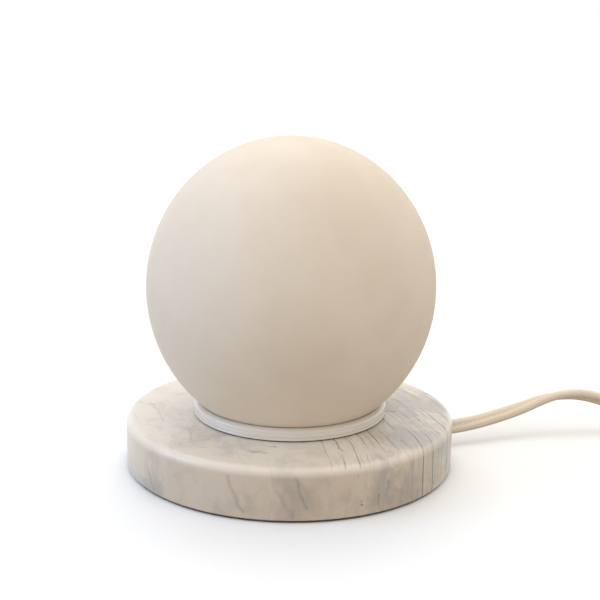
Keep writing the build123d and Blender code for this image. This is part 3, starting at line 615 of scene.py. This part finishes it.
# Single marks of this stone, each from one place on its skin to another, a half width, and how
# dark it is.
STONE_MARKS = [
    ((-0.0754, 0.0092, 0.0269), (-0.0648, -0.0199, 0.0269), 0.0011, 0.35),
    ((-0.0590, 0.0068, 0.0269), (-0.0556, 0.0060, 0.0269), 0.0008, 0.65),
    ((-0.0094, -0.0569, 0.0269), (-0.0060, -0.0571, 0.0269), 0.0008, 0.85),
    ((-0.0190, -0.0625, 0.0269), (-0.0105, -0.0650, 0.0269), 0.0018, 0.40),
    ((-0.0012, -0.0770, 0.0269), (0.0049, -0.0862, 0.0230), 0.0009, 0.50),
    ((0.0520, 0.0002, 0.0269), (0.0562, -0.0012, 0.0269), 0.0013, 0.85),
    ((0.0668, -0.0132, 0.0269), (0.0706, -0.0150, 0.0269), 0.0009, 0.80),
    ((0.0250, -0.0560, 0.0269), (0.0262, -0.0620, 0.0269), 0.0011, 0.60),
    ((0.0560, -0.0440, 0.0269), (0.0580, -0.0520, 0.0269), 0.0012, 0.60),
    ((-0.0286, -0.0814, 0.0215), (-0.0201, -0.0839, 0.0037), 0.0015, 0.30),
    ((0.0040, -0.0862, 0.0234), (0.0085, -0.0859, 0.0080), 0.0013, 0.38),
    ((-0.0040, -0.0862, 0.0160), (0.0030, -0.0862, 0.0030), 0.0018, 0.22),
    ((-0.0700, -0.0505, 0.0150), (-0.0660, -0.0556, 0.0030), 0.0016, 0.35),
    ((0.0476, -0.0720, 0.0158), (0.0478, -0.0718, 0.0136), 0.0012, 1.00),
    ((0.0351, -0.0788, 0.0090), (0.0353, -0.0787, 0.0064), 0.0011, 1.00),
    ((0.0432, -0.0747, 0.0148), (0.0436, -0.0744, 0.0060), 0.0009, 0.60),
]
# Grey clouds of this stone: a centre, how far each reaches, and how strong it is.
STONE_CLOUDS = [
    ((-0.057, -0.030, 0.0269), 0.024, 0.55),
    ((-0.026, -0.060, 0.0269), 0.016, 0.45),
    ((0.063, -0.036, 0.0269), 0.032, 1.20),
    ((0.066, 0.010, 0.0269), 0.038, 1.10),
    ((0.044, -0.074, 0.0085), 0.016, 1.00),
    ((0.060, -0.062, 0.0120), 0.016, 0.70),
    ((0.082, -0.024, 0.0140), 0.020, 0.90),
    ((-0.068, -0.053, 0.0090), 0.022, 0.70),
    ((-0.024, -0.083, 0.0080), 0.016, 0.45),
    ((0.004, -0.086, 0.0100), 0.016, 0.50),
]


class Marble(Finish):
    """Polished cream marble: grey clouds, single dark marks, and a sheaf of fine veins."""

    def __init__(self):
        super().__init__("marble", Specular_IOR_Level=0.5, Coat_Weight=0.35, Coat_Roughness=0.24)
        self.x, self.y, self.z = self.split(self.at)
        low_z = self.join(self.x, self.y, self.z * 0.3)
        slow = self.noise(low_z, 16, 3)
        self.quick = self.noise(low_z, 90, 3, 0.55)
        bend = self.y + VEINS_BEND_AT
        self.across = (self.x + 0.14 * self.y + 2.0 * bend * bend
                       + (slow - 0.5) * 0.006 + (self.quick - 0.5) * 0.0022)
        self.level = self.rise(self.z, STONE_TOP - 0.0036, STONE_TOP - 0.0004)
        self.right = self.rise(self.across, -0.004, 0.022)

    def sheaf(self, spacing, first, half_width, low, high):
        """Parallel veins that fade in and out along their way."""
        count = (self.across - first) / spacing
        order = self.maths("ROUND", count)
        off = abs(count - order) * spacing
        fade = self.noise(self.join(order * 0.37, self.y * 1.4, self.z * 0.35), 24, 3, 0.6)
        return (1 - self.rise(off, half_width * 0.35, half_width)) * self.rise(fade, low, high)

    def veins(self):
        """The sheaf, with finer veins between its own, and a few pale lone ones at the left."""
        veined = self.rise(self.across + 0.036 * self.level, 0.041, 0.050)
        main = self.sheaf(VEIN_SPACING, FIRST_VEIN, 0.00050, 0.34, 0.62)
        fine = self.sheaf(VEIN_SPACING * 0.43, 0.0017, 0.00042, 0.44, 0.66)
        lone = self.sheaf(0.0236, -0.0310, 0.00110, 0.50, 0.70)
        return (main * veined * (1.0 - 0.2 * self.level) + fine * veined * 0.50
                + lone * (1 - self.right) * 0.22)

    def marks(self):
        """The single marks, their edges shaken by fine noise."""
        wobble = self.noise(self.at, 170, 4).out("Color")
        shake = self.scaled(self.vector_maths("SUBTRACT", wobble, (0.5, 0.5, 0.5)), 0.0050)
        shaken = self.vector_maths("ADD", self.at, shake)
        marks = 0
        for start, end, half_width, darkness in STONE_MARKS:
            off = self.distance_to_line(shaken, Vector(start), Vector(end))
            mark = (1 - self.rise(off, 0.0, half_width)) * darkness
            marks = self.maths("MAXIMUM", marks, mark)
        return marks

    def specks(self):
        """Dark grains, more of them at the right."""
        grains = self.noise(self.join(self.across * 3.4, self.y * 0.8, self.z * 0.9), 190, 2)
        return self.rise(grains, 0.73, 0.80) * (0.20 + 0.4 * self.right)

    def clouds(self):
        """The grey clouds, where two meet the stronger one."""
        clouds = 0
        for centre, reach, strength in STONE_CLOUDS:
            off = self.distance(self.at, centre)
            near = (1 - self.rise(off, reach * 0.1, reach)) * strength
            clouds = self.maths("MAXIMUM", clouds, near)
        return clouds

    def ground(self, smoke, clouds):
        """The stone's colour between its veins and marks."""
        wisps = self.noise(self.join(self.across * 1.6, self.y * 0.8, self.z * 0.7), 75, 5, 0.65, 0.7)
        grey = self.rise(smoke + clouds * 0.20 + self.right * self.level * 0.06, 0.50, 0.80)
        bluish = self.rise(wisps + clouds * 0.12, 0.48, 0.72) * (0.55 + 0.4 * self.right)
        warm = self.rise(self.noise(self.at, 45, 4, 0.6), 0.50, 0.75)
        shade = self.mix(warm * 0.5, CREAM_STONE, OCHRE_STONE)
        shade = self.mix(grey * 0.75, shade, GREY_STONE)
        return self.mix(bluish * 0.7, shade, BLUISH_STONE)

    def painted_face_light(self, shade):
        """Painted light on the stone's faces: the wall darker and warmer as painted shade, the top
        lighter and cooler as painted light, and the rounded edge paler as a painted highlight.
        """
        # Painted shade darkens the wall, and painted light brightens and cools the top.
        shade = self.mix(1.0, shade, self.mix(self.level, WALL_PAINTED_SHADE, TOP_PAINTED_LIGHT), "MULTIPLY")
        # The band of the rounded top edge, which gets a painted highlight.
        edge = self.rise(self.z, 0.0215, 0.0240) * (1 - self.rise(self.z, 0.0258, STONE_TOP))
        return self.mix(edge * 0.40, shade, EDGE_PAINTED_HIGHLIGHT)


CREAM_STONE = (0.760, 0.690, 0.595)
OCHRE_STONE = (0.700, 0.580, 0.440)
GREY_STONE = (0.480, 0.455, 0.415)
BLUISH_STONE = (0.430, 0.425, 0.410)
VEIN_STONE = (0.105, 0.095, 0.088)
# Painted light: a painted highlight for the rounded edge, painted shade for the wall and painted light
# for the top.
EDGE_PAINTED_HIGHLIGHT = (0.860, 0.780, 0.675)
WALL_PAINTED_SHADE = (0.89, 0.85, 0.81)
TOP_PAINTED_LIGHT = (1.06, 1.08, 1.10)


def marble():
    stone = Marble()
    dark = stone.maths("MINIMUM", stone.veins() + stone.marks() + stone.specks(), 1.0)
    smoke = stone.noise(stone.at, 40, 4, 0.6, 0.5)
    shade = stone.ground(smoke, stone.clouds())
    # The veins darken the stone, then painted light and shade go over its faces.
    shade = stone.painted_face_light(stone.mix(dark * 0.80, shade, VEIN_STONE))
    rough = 0.32 + 0.12 * (smoke - 0.5) + 0.12 * dark
    return stone.dress(Base_Color=shade, Roughness=rough, height=stone.quick - dark * 0.4,
                       distance=0.00003)


YARNS_ROUND = 20
YARN_SLOPE = 1.15


def woven_fabric():
    """Braided cotton cover: yarns that cross over and under, on the cord's own UV map, with the yarns'
    hollows darker as painted shade and painted shade down the grooves between the lobes.
    """
    finish = Finish("cord_fabric", Specular_IOR_Level=0.2, Sheen_Weight=0.2, Sheen_Roughness=0.5)
    uv = finish.node("ShaderNodeUVMap", {"uv_map": "weave"})
    along, around, _ = finish.split(uv)
    girth = sum(edge_lengths(lobed_section()))
    yarn = girth / YARNS_ROUND
    first = (along * YARN_SLOPE + around) / yarn
    second = (along * YARN_SLOPE - around) / yarn
    ridge_one = abs(finish.maths("SINE", first * pi))
    ridge_two = abs(finish.maths("SINE", second * pi))
    over = finish.maths("SINE", first * pi / 2) * finish.maths("SINE", second * pi / 2)
    top = finish.rise(over, -0.1, 0.1)
    height = ridge_one * top + ridge_two * (1 - top)
    wool = finish.noise(finish.at, 1500, 3)
    patches = finish.noise(finish.at, 50, 2)
    groove = finish.maths("COSINE", around * (2 * tau / girth))
    # Painted shade: the yarns' hollows darker than their crowns.
    shade = finish.mix(finish.rise(height, 0.05, 0.75), (0.77, 0.610, 0.450), (0.92, 0.830, 0.705))
    shade = finish.mix(finish.rise(patches, 0.35, 0.7) * 0.2, shade, (0.80, 0.67, 0.52))
    shade = finish.mix(wool * 0.25, shade, (0.95, 0.88, 0.77))
    # Painted shade in the grooves between the cord's two lobes.
    shade = finish.mix(finish.rise(-groove, 0.80, 1.0) * 0.22, shade, (0.46, 0.31, 0.19))
    rough = 0.78 + 0.1 * (wool - 0.5)
    return finish.dress(Base_Color=shade, Roughness=rough, height=height + 0.4 * wool,
                        distance=0.00014)


def stitch_thread():
    """Paler cotton of the stitches between the lobes."""
    finish = Finish("stitch_thread", Specular_IOR_Level=0.2)
    wool = finish.noise(finish.at, 2200, 2)
    shade = finish.mix(wool, (0.96, 0.88, 0.76), (1.00, 0.96, 0.88))
    return finish.dress(Base_Color=shade, Roughness=0.7 + 0.1 * wool, height=wool, distance=0.00005)


def felt():
    """Napped felt of short crossed fibres."""
    finish = Finish("felt", Specular_IOR_Level=0.15, Sheen_Weight=0.4)
    fibres = finish.noise(finish.stretched(finish.at, 1, 1, 3), 1400, 4, 0.7, 1.0)
    tufts = finish.noise(finish.at, 180, 3)
    shade = finish.mix(finish.rise(fibres, 0.35, 0.65), (0.050, 0.045, 0.042), (0.16, 0.15, 0.14))
    rough = 0.9 + 0.1 * (tufts - 0.5)
    return finish.dress(Base_Color=shade, Roughness=rough, height=fibres + tufts, distance=0.0003)


PLASTIC = {"Specular_IOR_Level": 0.45}
METAL = {"Metallic": 1.0}
IVORY = ((0.79, 0.73, 0.63), (0.75, 0.68, 0.57), 0.38, PLASTIC)

# Moulded, cast and sprayed finishes: two colours, a roughness, and what else sets each apart.
MOULDED_FINISHES = {
    "black_rubber": ((0.035, 0.031, 0.028), (0.055, 0.050, 0.046), 0.75, {}),
    "silicone": ((0.74, 0.72, 0.68), (0.66, 0.64, 0.60), 0.55, PLASTIC),
    "ivory_plastic": IVORY,
    "brown_insulation": ((0.17, 0.075, 0.035), (0.13, 0.055, 0.025), 0.4, PLASTIC),
    "blue_insulation": ((0.04, 0.14, 0.40), (0.03, 0.11, 0.32), 0.4, PLASTIC),
    "holder_plastic": ((0.80, 0.79, 0.76), (0.74, 0.73, 0.69), 0.46, PLASTIC),
    "porcelain": ((0.84, 0.83, 0.80), (0.79, 0.77, 0.72), 0.2, {"grain": 400, **PLASTIC}),
    "solder": ((0.50, 0.50, 0.50), (0.38, 0.38, 0.38), 0.42,
               {"grain": 1200, "patch": 500, "bump": 0.00006, **METAL}),
    "black_glass": ((0.020, 0.020, 0.024), (0.035, 0.035, 0.04), 0.15, {"grain": 500, **PLASTIC}),
    "bulb_plastic": ((0.83, 0.82, 0.79), (0.79, 0.77, 0.73), 0.42, PLASTIC),
    "frosted_glass": ((0.86, 0.85, 0.81), (0.82, 0.80, 0.75), 0.42,
                      {"grain": 2000, "patch": 40, "bump": 0.000008, **PLASTIC}),
    "rocker_plastic": ((0.74, 0.67, 0.56), (0.70, 0.62, 0.50), 0.28, PLASTIC),
    "ivory_sleeve": ((0.72, 0.66, 0.55), (0.67, 0.60, 0.48), 0.5, PLASTIC),
}
# Turned and drawn metals: a colour, its tarnish and a roughness.
METAL_FINISHES = {
    "zinc_steel": ((0.60, 0.61, 0.60), (0.52, 0.50, 0.45), 0.36),
    "brass": ((0.83, 0.62, 0.28), (0.66, 0.45, 0.18), 0.28),
    "nickel": ((0.70, 0.67, 0.61), (0.58, 0.54, 0.47), 0.24),
}


def make_finishes():
    """Every slot of the record with its material."""
    made = {"marble": marble(), "felt": felt(), "white_enamel": white_enamel(),
            "opal_glass": opal_glass(), "cord_fabric": woven_fabric()}
    for name, (colour, tint, roughness, apart) in MOULDED_FINISHES.items():
        made[name] = speckled(name, colour, tint, roughness, **apart)
    for name, (colour, tarnish, roughness) in METAL_FINISHES.items():
        made[name] = brushed(name, colour, tarnish, roughness, **METAL)
    return made


# ---------------- pieces


def cast(piece, body, slot, *stood_for):
    """Gives a piece its body, its slot's finish and the CAD nodes that it stands for."""
    if not piece.data.materials:
        piece.data.materials.append(FINISHES[slot])
    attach(piece, body)
    if stood_for:
        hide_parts(*stood_for)
    return piece


SWITCH_SEAM = 0.0080
PLUG_SEAM = 0.00685


def dress_nodes():
    """Gives every CAD node the finish of its slot, and mouldings that meet their own seam."""
    *ivory, apart = IVORY
    switch_shell = speckled("switch_shell", *ivory, seam=SWITCH_SEAM, **apart)
    plug_shell = speckled("plug_shell", *ivory, seam=PLUG_SEAM, **apart)
    seamed = {"switch_bottom": switch_shell, "switch_top": switch_shell, "plug_body": plug_shell}
    for subpart in frame["record"]["subparts"]:
        name = subpart["node"]
        finish = seamed.get(name, FINISHES[subpart["material_slot"]])
        nodes[name].data.materials.clear()
        nodes[name].data.materials.append(finish)


OVAL_STEPS = 120


def make_globe():
    """Opal globe: an oval shell, open below, with a ground rim."""
    wall = 0.003
    half_height = 0.078
    chamfer = 0.0007
    low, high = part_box("globe_glass")
    radius = high.x
    centre = high.z - half_height
    rim = low.z

    def half_oval(across, upright, first):
        """From the level first up to the pole."""
        start = asin((first - centre) / upright)
        angles = [start + (pi / 2 - start) * step / OVAL_STEPS for step in range(OVAL_STEPS + 1)]
        return [(across * cos(angle), centre + upright * sin(angle)) for angle in angles]

    outside = half_oval(radius, half_height, rim + chamfer)
    inside = half_oval(radius - wall, half_height - wall, rim + chamfer)
    ground = [(inside[0][0] + chamfer, rim), (outside[0][0] - chamfer, rim)]
    profile = list(reversed(inside)) + ground + outside
    shell = turn_profile("globe_shell", profile, FINISHES["opal_glass"], steps=192)
    cast(shell, "globe", "opal_glass", "globe_glass")


TUBE_HOLE = 0.0053


def make_dish():
    """Spun dish: foot bead, fine groove, bulging band, soft valley and rolled lip."""
    low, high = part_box("collar_dish")
    base, top = low.z, high.z
    skin = high.x + 0.0006
    bead, bead_level = 0.0008, 0.0008
    groove, groove_level = 0.00018, 0.00146
    band, band_level = 0.00505, 0.0026
    valley, valley_level = 0.00235, 0.0038
    off_skin = 0.00005
    lip_wide, lip_high, lip_steps = 0.0029, 0.0017, 12
    floor = base + 0.0012
    inner = 0.04709
    inner_break = 0.0002
    profile = [(TUBE_HOLE, base)]
    profile += arc((skin - bead, base + bead_level), bead, -90, 35, 8)
    profile += arc((skin, base + groove_level), groove, 250, 110, 8)
    profile += arc((skin - band + off_skin, base + band_level), band, -9, 8, 8)
    profile += arc((skin + valley - off_skin, base + valley_level), valley, 193, 170, 8)
    for angle in [pi / 2 * step / lip_steps for step in range(lip_steps + 1)]:
        profile.append((skin - lip_wide * (1 - cos(angle)), top - lip_high * (1 - sin(angle))))
    profile += [(inner + inner_break, top), (inner, top - inner_break)]
    profile += [(inner, floor), (TUBE_HOLE, floor), (TUBE_HOLE, base)]
    dish = turn_profile("enamelled_dish", profile, FINISHES["white_enamel"], steps=192,
                        sharp_angle=radians(50))
    cast(dish, "lamp", "white_enamel", "collar_dish")


def make_gasket():
    """Black rubber ring under the dish, drawn wider than its part to a bulging edge, so that its black
    edge also stands in for the shadow line under the dish: painted shade.
    """
    low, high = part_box("dish_gasket")
    # Painted shade: the widening shows black where the dish's shadow line falls on the stone.
    shade_line_spread = 0.0008
    half = (high.z - low.z) / 2
    edge = high.x + shade_line_spread - half
    profile = [(TUBE_HOLE, high.z), (TUBE_HOLE, low.z)]
    profile += arc((edge, low.z + half), half, -90, 90, 8) + [(TUBE_HOLE, high.z)]
    gasket = turn_profile("squeezed_gasket", profile, FINISHES["black_rubber"], steps=144)
    cast(gasket, "lamp", "black_rubber", "dish_gasket")


def make_pad():
    """Felt pad under the foot, drawn wider at its edge than its part, so that its dark felt stands in
    for the contact shadow under the stone: painted shade.
    """
    low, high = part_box("base_pad")
    # Painted shade: the widened dark edge stands where the stone's contact shadow falls.
    shade_line_spread = 0.0018
    half = (high.z - low.z) / 2
    edge = high.x + shade_line_spread - half
    profile = [(0, low.z)] + arc((edge, low.z + half), half, -90, 90, 8) + [(0, high.z)]
    pad = turn_profile("felt_pad", profile, FINISHES["felt"], steps=128)
    cast(pad, "lamp", "felt", "base_pad")


BULB_PITCH = 0.00282
BULB_THREAD_DEPTH = 0.0007
TUBE_PITCH = 0.001
TUBE_THREAD_DEPTH = 0.0004
TUBE_BORE = 0.004


def levels(low, high, rows):
    """Even steps from one level to another, fine enough for a thread."""
    return [low + (high - low) * step / rows for step in range(rows + 1)]


def make_bulb_cap():
    """The bulb's screw cap, with its rolled thread."""
    low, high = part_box("bulb_cap")
    root = high.x - BULB_THREAD_DEPTH
    shank = [(root, level) for level in levels(low.z, high.z, 96)]
    profile = [(0, low.z)] + shank + [(0, high.z)]
    cap = turn_profile("bulb_screw_cap", profile, FINISHES["nickel"], steps=72,
                       thread=(BULB_PITCH, BULB_THREAD_DEPTH, low.z, low.z + 5 * BULB_PITCH))
    cast(cap, "bulb", "nickel", "bulb_cap")


def make_sleeve():
    """The lampholder's sleeve: thin brass sheet with the bulb's thread rolled into it."""
    low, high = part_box("holder_sleeve")
    sheet = 0.0004
    depth = BULB_THREAD_DEPTH / 2
    climb = levels(low.z, high.z, 96)
    bore = [(high.x - depth - sheet, level) for level in climb]
    skin = [(high.x - depth, level) for level in reversed(climb)]
    sleeve = turn_profile("screw_sleeve", bore + skin + bore[:1], FINISHES["brass"], steps=72,
                          thread=(BULB_PITCH, depth, low.z, high.z))
    cast(sleeve, "lamp", "brass", "holder_sleeve")


def make_tube():
    """The tube that clamps the dish to the stone, threaded from end to end."""
    low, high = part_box("threaded_tube")
    root = high.x - TUBE_THREAD_DEPTH
    profile = [(TUBE_BORE, low.z)] + [(root, level) for level in levels(low.z, high.z, 216)]
    profile += [(TUBE_BORE, high.z), (TUBE_BORE, low.z)]
    tube = turn_profile("clamping_tube", profile, FINISHES["zinc_steel"], steps=48,
                        thread=(TUBE_PITCH, TUBE_THREAD_DEPTH, low.z, high.z))
    cast(tube, "lamp", "zinc_steel", "threaded_tube")


def ribbing_tree():
    """Short upright ribs round the Z axis, each a bar with rounded ends."""
    graph, (line, count, radius, length, thick, height, finish) = geometry_tree("ribbing", [
        ("Line", "Geometry"), ("Count", "Int"), ("Radius", "Float"), ("Length", "Float"),
        ("Thickness", "Float"), ("Height", "Float"), ("Finish", "Material")])
    ring = graph.node("GeometryNodeMeshCircle", None, Vertices=count, Radius=radius)
    bar = graph.node("GeometryNodeMeshUVSphere", None, Segments=8, Rings=6, Radius=0.5)
    shape = graph.node("GeometryNodeInstanceOnPoints", None, Points=ring, Instance=bar,
                       Scale=graph.join(thick, thick, length))
    shape = graph.node("GeometryNodeTransform", None, Geometry=shape,
                       Translation=graph.join(0.0, 0.0, height))
    return end_tree(graph, shape, finish)


def make_holder_ribs():
    """Grip ribs round the lampholder's shell."""
    low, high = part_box("holder_shell")
    ribs = grow(RIBBING, line_mesh("ribs_line", [(0, 0, 0)]), "holder_ribs", Count=30,
                Radius=high.x, Length=(high.z - low.z) * 0.62, Thickness=0.0008,
                Height=(low.z + high.z) / 2, Finish=FINISHES["holder_plastic"])
    cast(ribs, "lamp", "holder_plastic")


# ---------------- cord pieces

LEAN_AT_FOOT = radians(-30)
LYING_FLAT = radians(90)
# Each turn of the lead about its own line: how far it turns, and where it starts and ends.
LEAD_TURNS = [
    (radians(-22), 0.018, 0.050),
    (radians(-98), 0.054, 0.124),
    (radians(60), 0.124, 0.150),
]
# Where the tail turns from lying flat to standing on edge, and, from its far end, back again.
TAIL_TURNS = (0.010, 0.085)
END_TURNS = (0.045, 0.008)
RELIEF_LENGTH = 0.022
RELIEF_RIBS = 8
RELIEF_STEPS = 72
RELIEF_AT_HOUSING = 0.0014
RELIEF_AT_TIP = 0.0004
RIB_DEPTH = 0.0006
GRIP_IN_SWITCH = 0.006


def ease(value, low, high):
    share = min(max((value - low) / (high - low), 0), 1)
    return share * share * (3 - 2 * share)


def make_cord(name, places, lean, stood_for):
    """A stretch of the cord's cover, and the stitches down both of its grooves."""
    cover = cast(weave_cord(name, places, lean), "lamp", "cord_fabric", *stood_for)
    for side, word in ((1, "left"), (-1, "right")):
        line = stitch_line(f"{name}_{word}", places, lean, side)
        stitches = grow(STITCHING, line, f"{name}_stitches_{word}", Pitch=STITCH_PITCH,
                        Reach=STITCH_REACH, Thickness=STITCH_THICKNESS, Slant=STITCH_SLANT,
                        Finish=STITCH_THREAD)
        cast(stitches, "lamp", "cord_fabric")
        yield stitches
    yield cover


def cord_at(places, lean, ways, way):
    """Place and lean of the cord at one length along it."""
    index = min(max(int(np.searchsorted(ways, way)), 1), len(places) - 1)
    part = (way - ways[index - 1]) / (ways[index] - ways[index - 1])
    return (places[index - 1].lerp(places[index], part),
            lean[index - 1] + (lean[index] - lean[index - 1]) * part)


def relief_swell(share):
    """How far the sleeve stands off the cord. Share is 0 at its housing and 1 at its tip."""
    rib = 0.5 + 0.5 * cos(tau * share * RELIEF_RIBS)
    return (RELIEF_AT_HOUSING * (1 - share) + RELIEF_AT_TIP * share
            + RIB_DEPTH * min(max(rib * 1.6 - 0.3, 0), 1))


def make_relief(name, places, lean, first, last):
    """Ribbed rubber sleeve on the cord that tapers from its housing, at first, to its tip, at last."""
    ways = lengths_along(places)
    shares = [step / RELIEF_STEPS for step in range(RELIEF_STEPS + 1)]
    if first > last:
        shares.reverse()
    stops = [cord_at(places, lean, ways, first + (last - first) * share) for share in shares]
    spots, leans = zip(*stops)
    swell = [relief_swell(share) for share in shares]
    return cast(weave_cord(name, spots, leans, swell), "lamp", "ivory_plastic")


def make_lead():
    """The lead from the foot to the hand switch, and its stretch inside the foot."""
    places = read_route(lay_route("lead_route", LEAD_ROUTE, resolution=16))
    ways = lengths_along(places)
    lean = [LEAN_AT_FOOT + sum(turn * ease(way, start, end) for turn, start, end in LEAD_TURNS)
            for way in ways]
    *stitches, lead = make_cord("cord_to_switch", places, lean, ["cord_lead"])
    at_switch = ways[-1] - GRIP_IN_SWITCH
    relief = make_relief("relief_into_switch", places, lean, at_switch, at_switch - RELIEF_LENGTH)
    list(stitches)

    held = [STRIPPED_END.lerp(LEAD_START, step / 8) for step in range(9)]
    cast(weave_cord("cord_in_foot", held, [LEAN_AT_FOOT] * len(held)), "lamp", "cord_fabric")


def make_tail():
    """The cord from the hand switch on: its tail, the coil, and its end up to the plug."""
    tail_route = TAIL_ROUTE + coil_route() + END_ROUTE
    places = read_route(lay_route("tail_route", tail_route, resolution=10))
    ways = lengths_along(places)
    end = ways[-1]
    end_turns = [end - back for back in END_TURNS]
    lean = [LYING_FLAT * (1 - ease(way, *TAIL_TURNS) + ease(way, *end_turns)) for way in ways]
    *stitches, tail = make_cord("cord_to_plug", places, lean, ["cord_tail", "cord_coil", "cord_end"])
    reliefs = [make_relief("relief_out_of_switch", places, lean, GRIP_IN_SWITCH,
                           GRIP_IN_SWITCH + RELIEF_LENGTH),
               make_relief("relief_into_plug", places, lean, end, end - RELIEF_LENGTH)]
    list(stitches)


# ---------------- stage


def softbox(name, place, size, power, colour, aim=(0, 0, 0.08)):
    """A square lamp with a soft edge to its shadow, aimed at the object."""
    light = bpy.data.lights.new(name, "AREA")
    light.size = size
    light.energy = power
    light.color = colour
    lamp = bpy.data.objects.new(name, light)
    lamp.location = place
    lamp.rotation_euler = (Vector(aim) - Vector(place)).to_track_quat("-Z", "Y").to_euler()
    bpy.context.scene.collection.objects.link(lamp)


SKY_COLOUR = (1.000, 0.940, 0.875)
FLOOR_COLOUR = (0.935, 0.965, 0.990)
FLOOR_BOUNCE = (0.33, 0.30, 0.26)
FLOOR_GLOW = 0.015
FLOOR_REACH = 6.0
GLOW_STARTS = 0.45
GLOW_FULL = 1.3


def shown_directly(graph):
    """1 for a ray from the camera, and for one by way of gloss or glass."""
    rays = graph.node("ShaderNodeLightPath")
    seen = graph.maths("MAXIMUM", rays.out("Is Camera Ray"), rays.out("Is Glossy Ray"))
    return graph.maths("MAXIMUM", seen, rays.out("Is Transmission Ray"))


def make_floor():
    """Pale floor that shows white but keeps the object's shadow."""
    finish = bpy.data.materials.new("pale_floor")
    finish.use_nodes = True
    graph = Graph(finish.node_tree)
    graph.tree.nodes.clear()
    at = graph.node("ShaderNodeTexCoord", out="Object")
    reach = graph.node("ShaderNodeVectorMath", {"operation": "LENGTH"}, at, out="Value")
    far = graph.rise(reach, GLOW_STARTS, GLOW_FULL)
    direct = shown_directly(graph)
    paint = graph.node("ShaderNodeBsdfDiffuse", None,
                       Color=graph.mix(direct, FLOOR_BOUNCE, FLOOR_COLOUR))
    glow = graph.node("ShaderNodeEmission", None, Color=(1.0, 1.0, 1.0, 1.0),
                      Strength=direct * (FLOOR_GLOW + far))
    both = graph.node("ShaderNodeAddShader", None, paint, glow)
    graph.node("ShaderNodeOutputMaterial", None, both)
    mesh = bpy.data.meshes.new("floor")
    corners = [(-1, -1), (1, -1), (1, 1), (-1, 1)]
    mesh.from_pydata([(x * FLOOR_REACH, y * FLOOR_REACH, 0) for x, y in corners], [], [(0, 1, 2, 3)])
    mesh.materials.append(finish)
    floor = bpy.data.objects.new("floor", mesh)
    bpy.context.scene.collection.objects.link(floor)


def make_lights():
    """Even warm studio sky, white where it is seen, a lamp above and behind, and a cool left one."""
    world = bpy.data.worlds.new("studio")
    world.use_nodes = True
    graph = Graph(world.node_tree)
    graph.tree.nodes.clear()
    sky = graph.node("ShaderNodeBackground", None,
                     Color=graph.mix(shown_directly(graph), SKY_COLOUR, (1.0, 1.0, 1.0)))
    graph.node("ShaderNodeOutputWorld", None, sky)
    bpy.context.scene.world = world
    softbox("above_behind", place=(0.0, 0.62, 1.10), size=0.7, power=3.8, colour=(0.98, 1.0, 0.97))
    softbox("cool_left", place=(-1.1, -0.25, 0.45), size=0.6, power=4.5, colour=(0.30, 0.555, 1.0))
    bpy.context.scene.view_settings.view_transform = "Standard"


# ---------------- making it all

make_camera()
FINISHES = make_finishes()
STITCH_THREAD = stitch_thread()
TURNING = turning_tree()
STITCHING = stitching_tree()
RIBBING = ribbing_tree()
dress_nodes()
make_lead()
make_tail()
make_globe()
make_dish()
make_gasket()
make_pad()
make_bulb_cap()
make_sleeve()
make_tube()
make_holder_ribs()
make_floor()
make_lights()
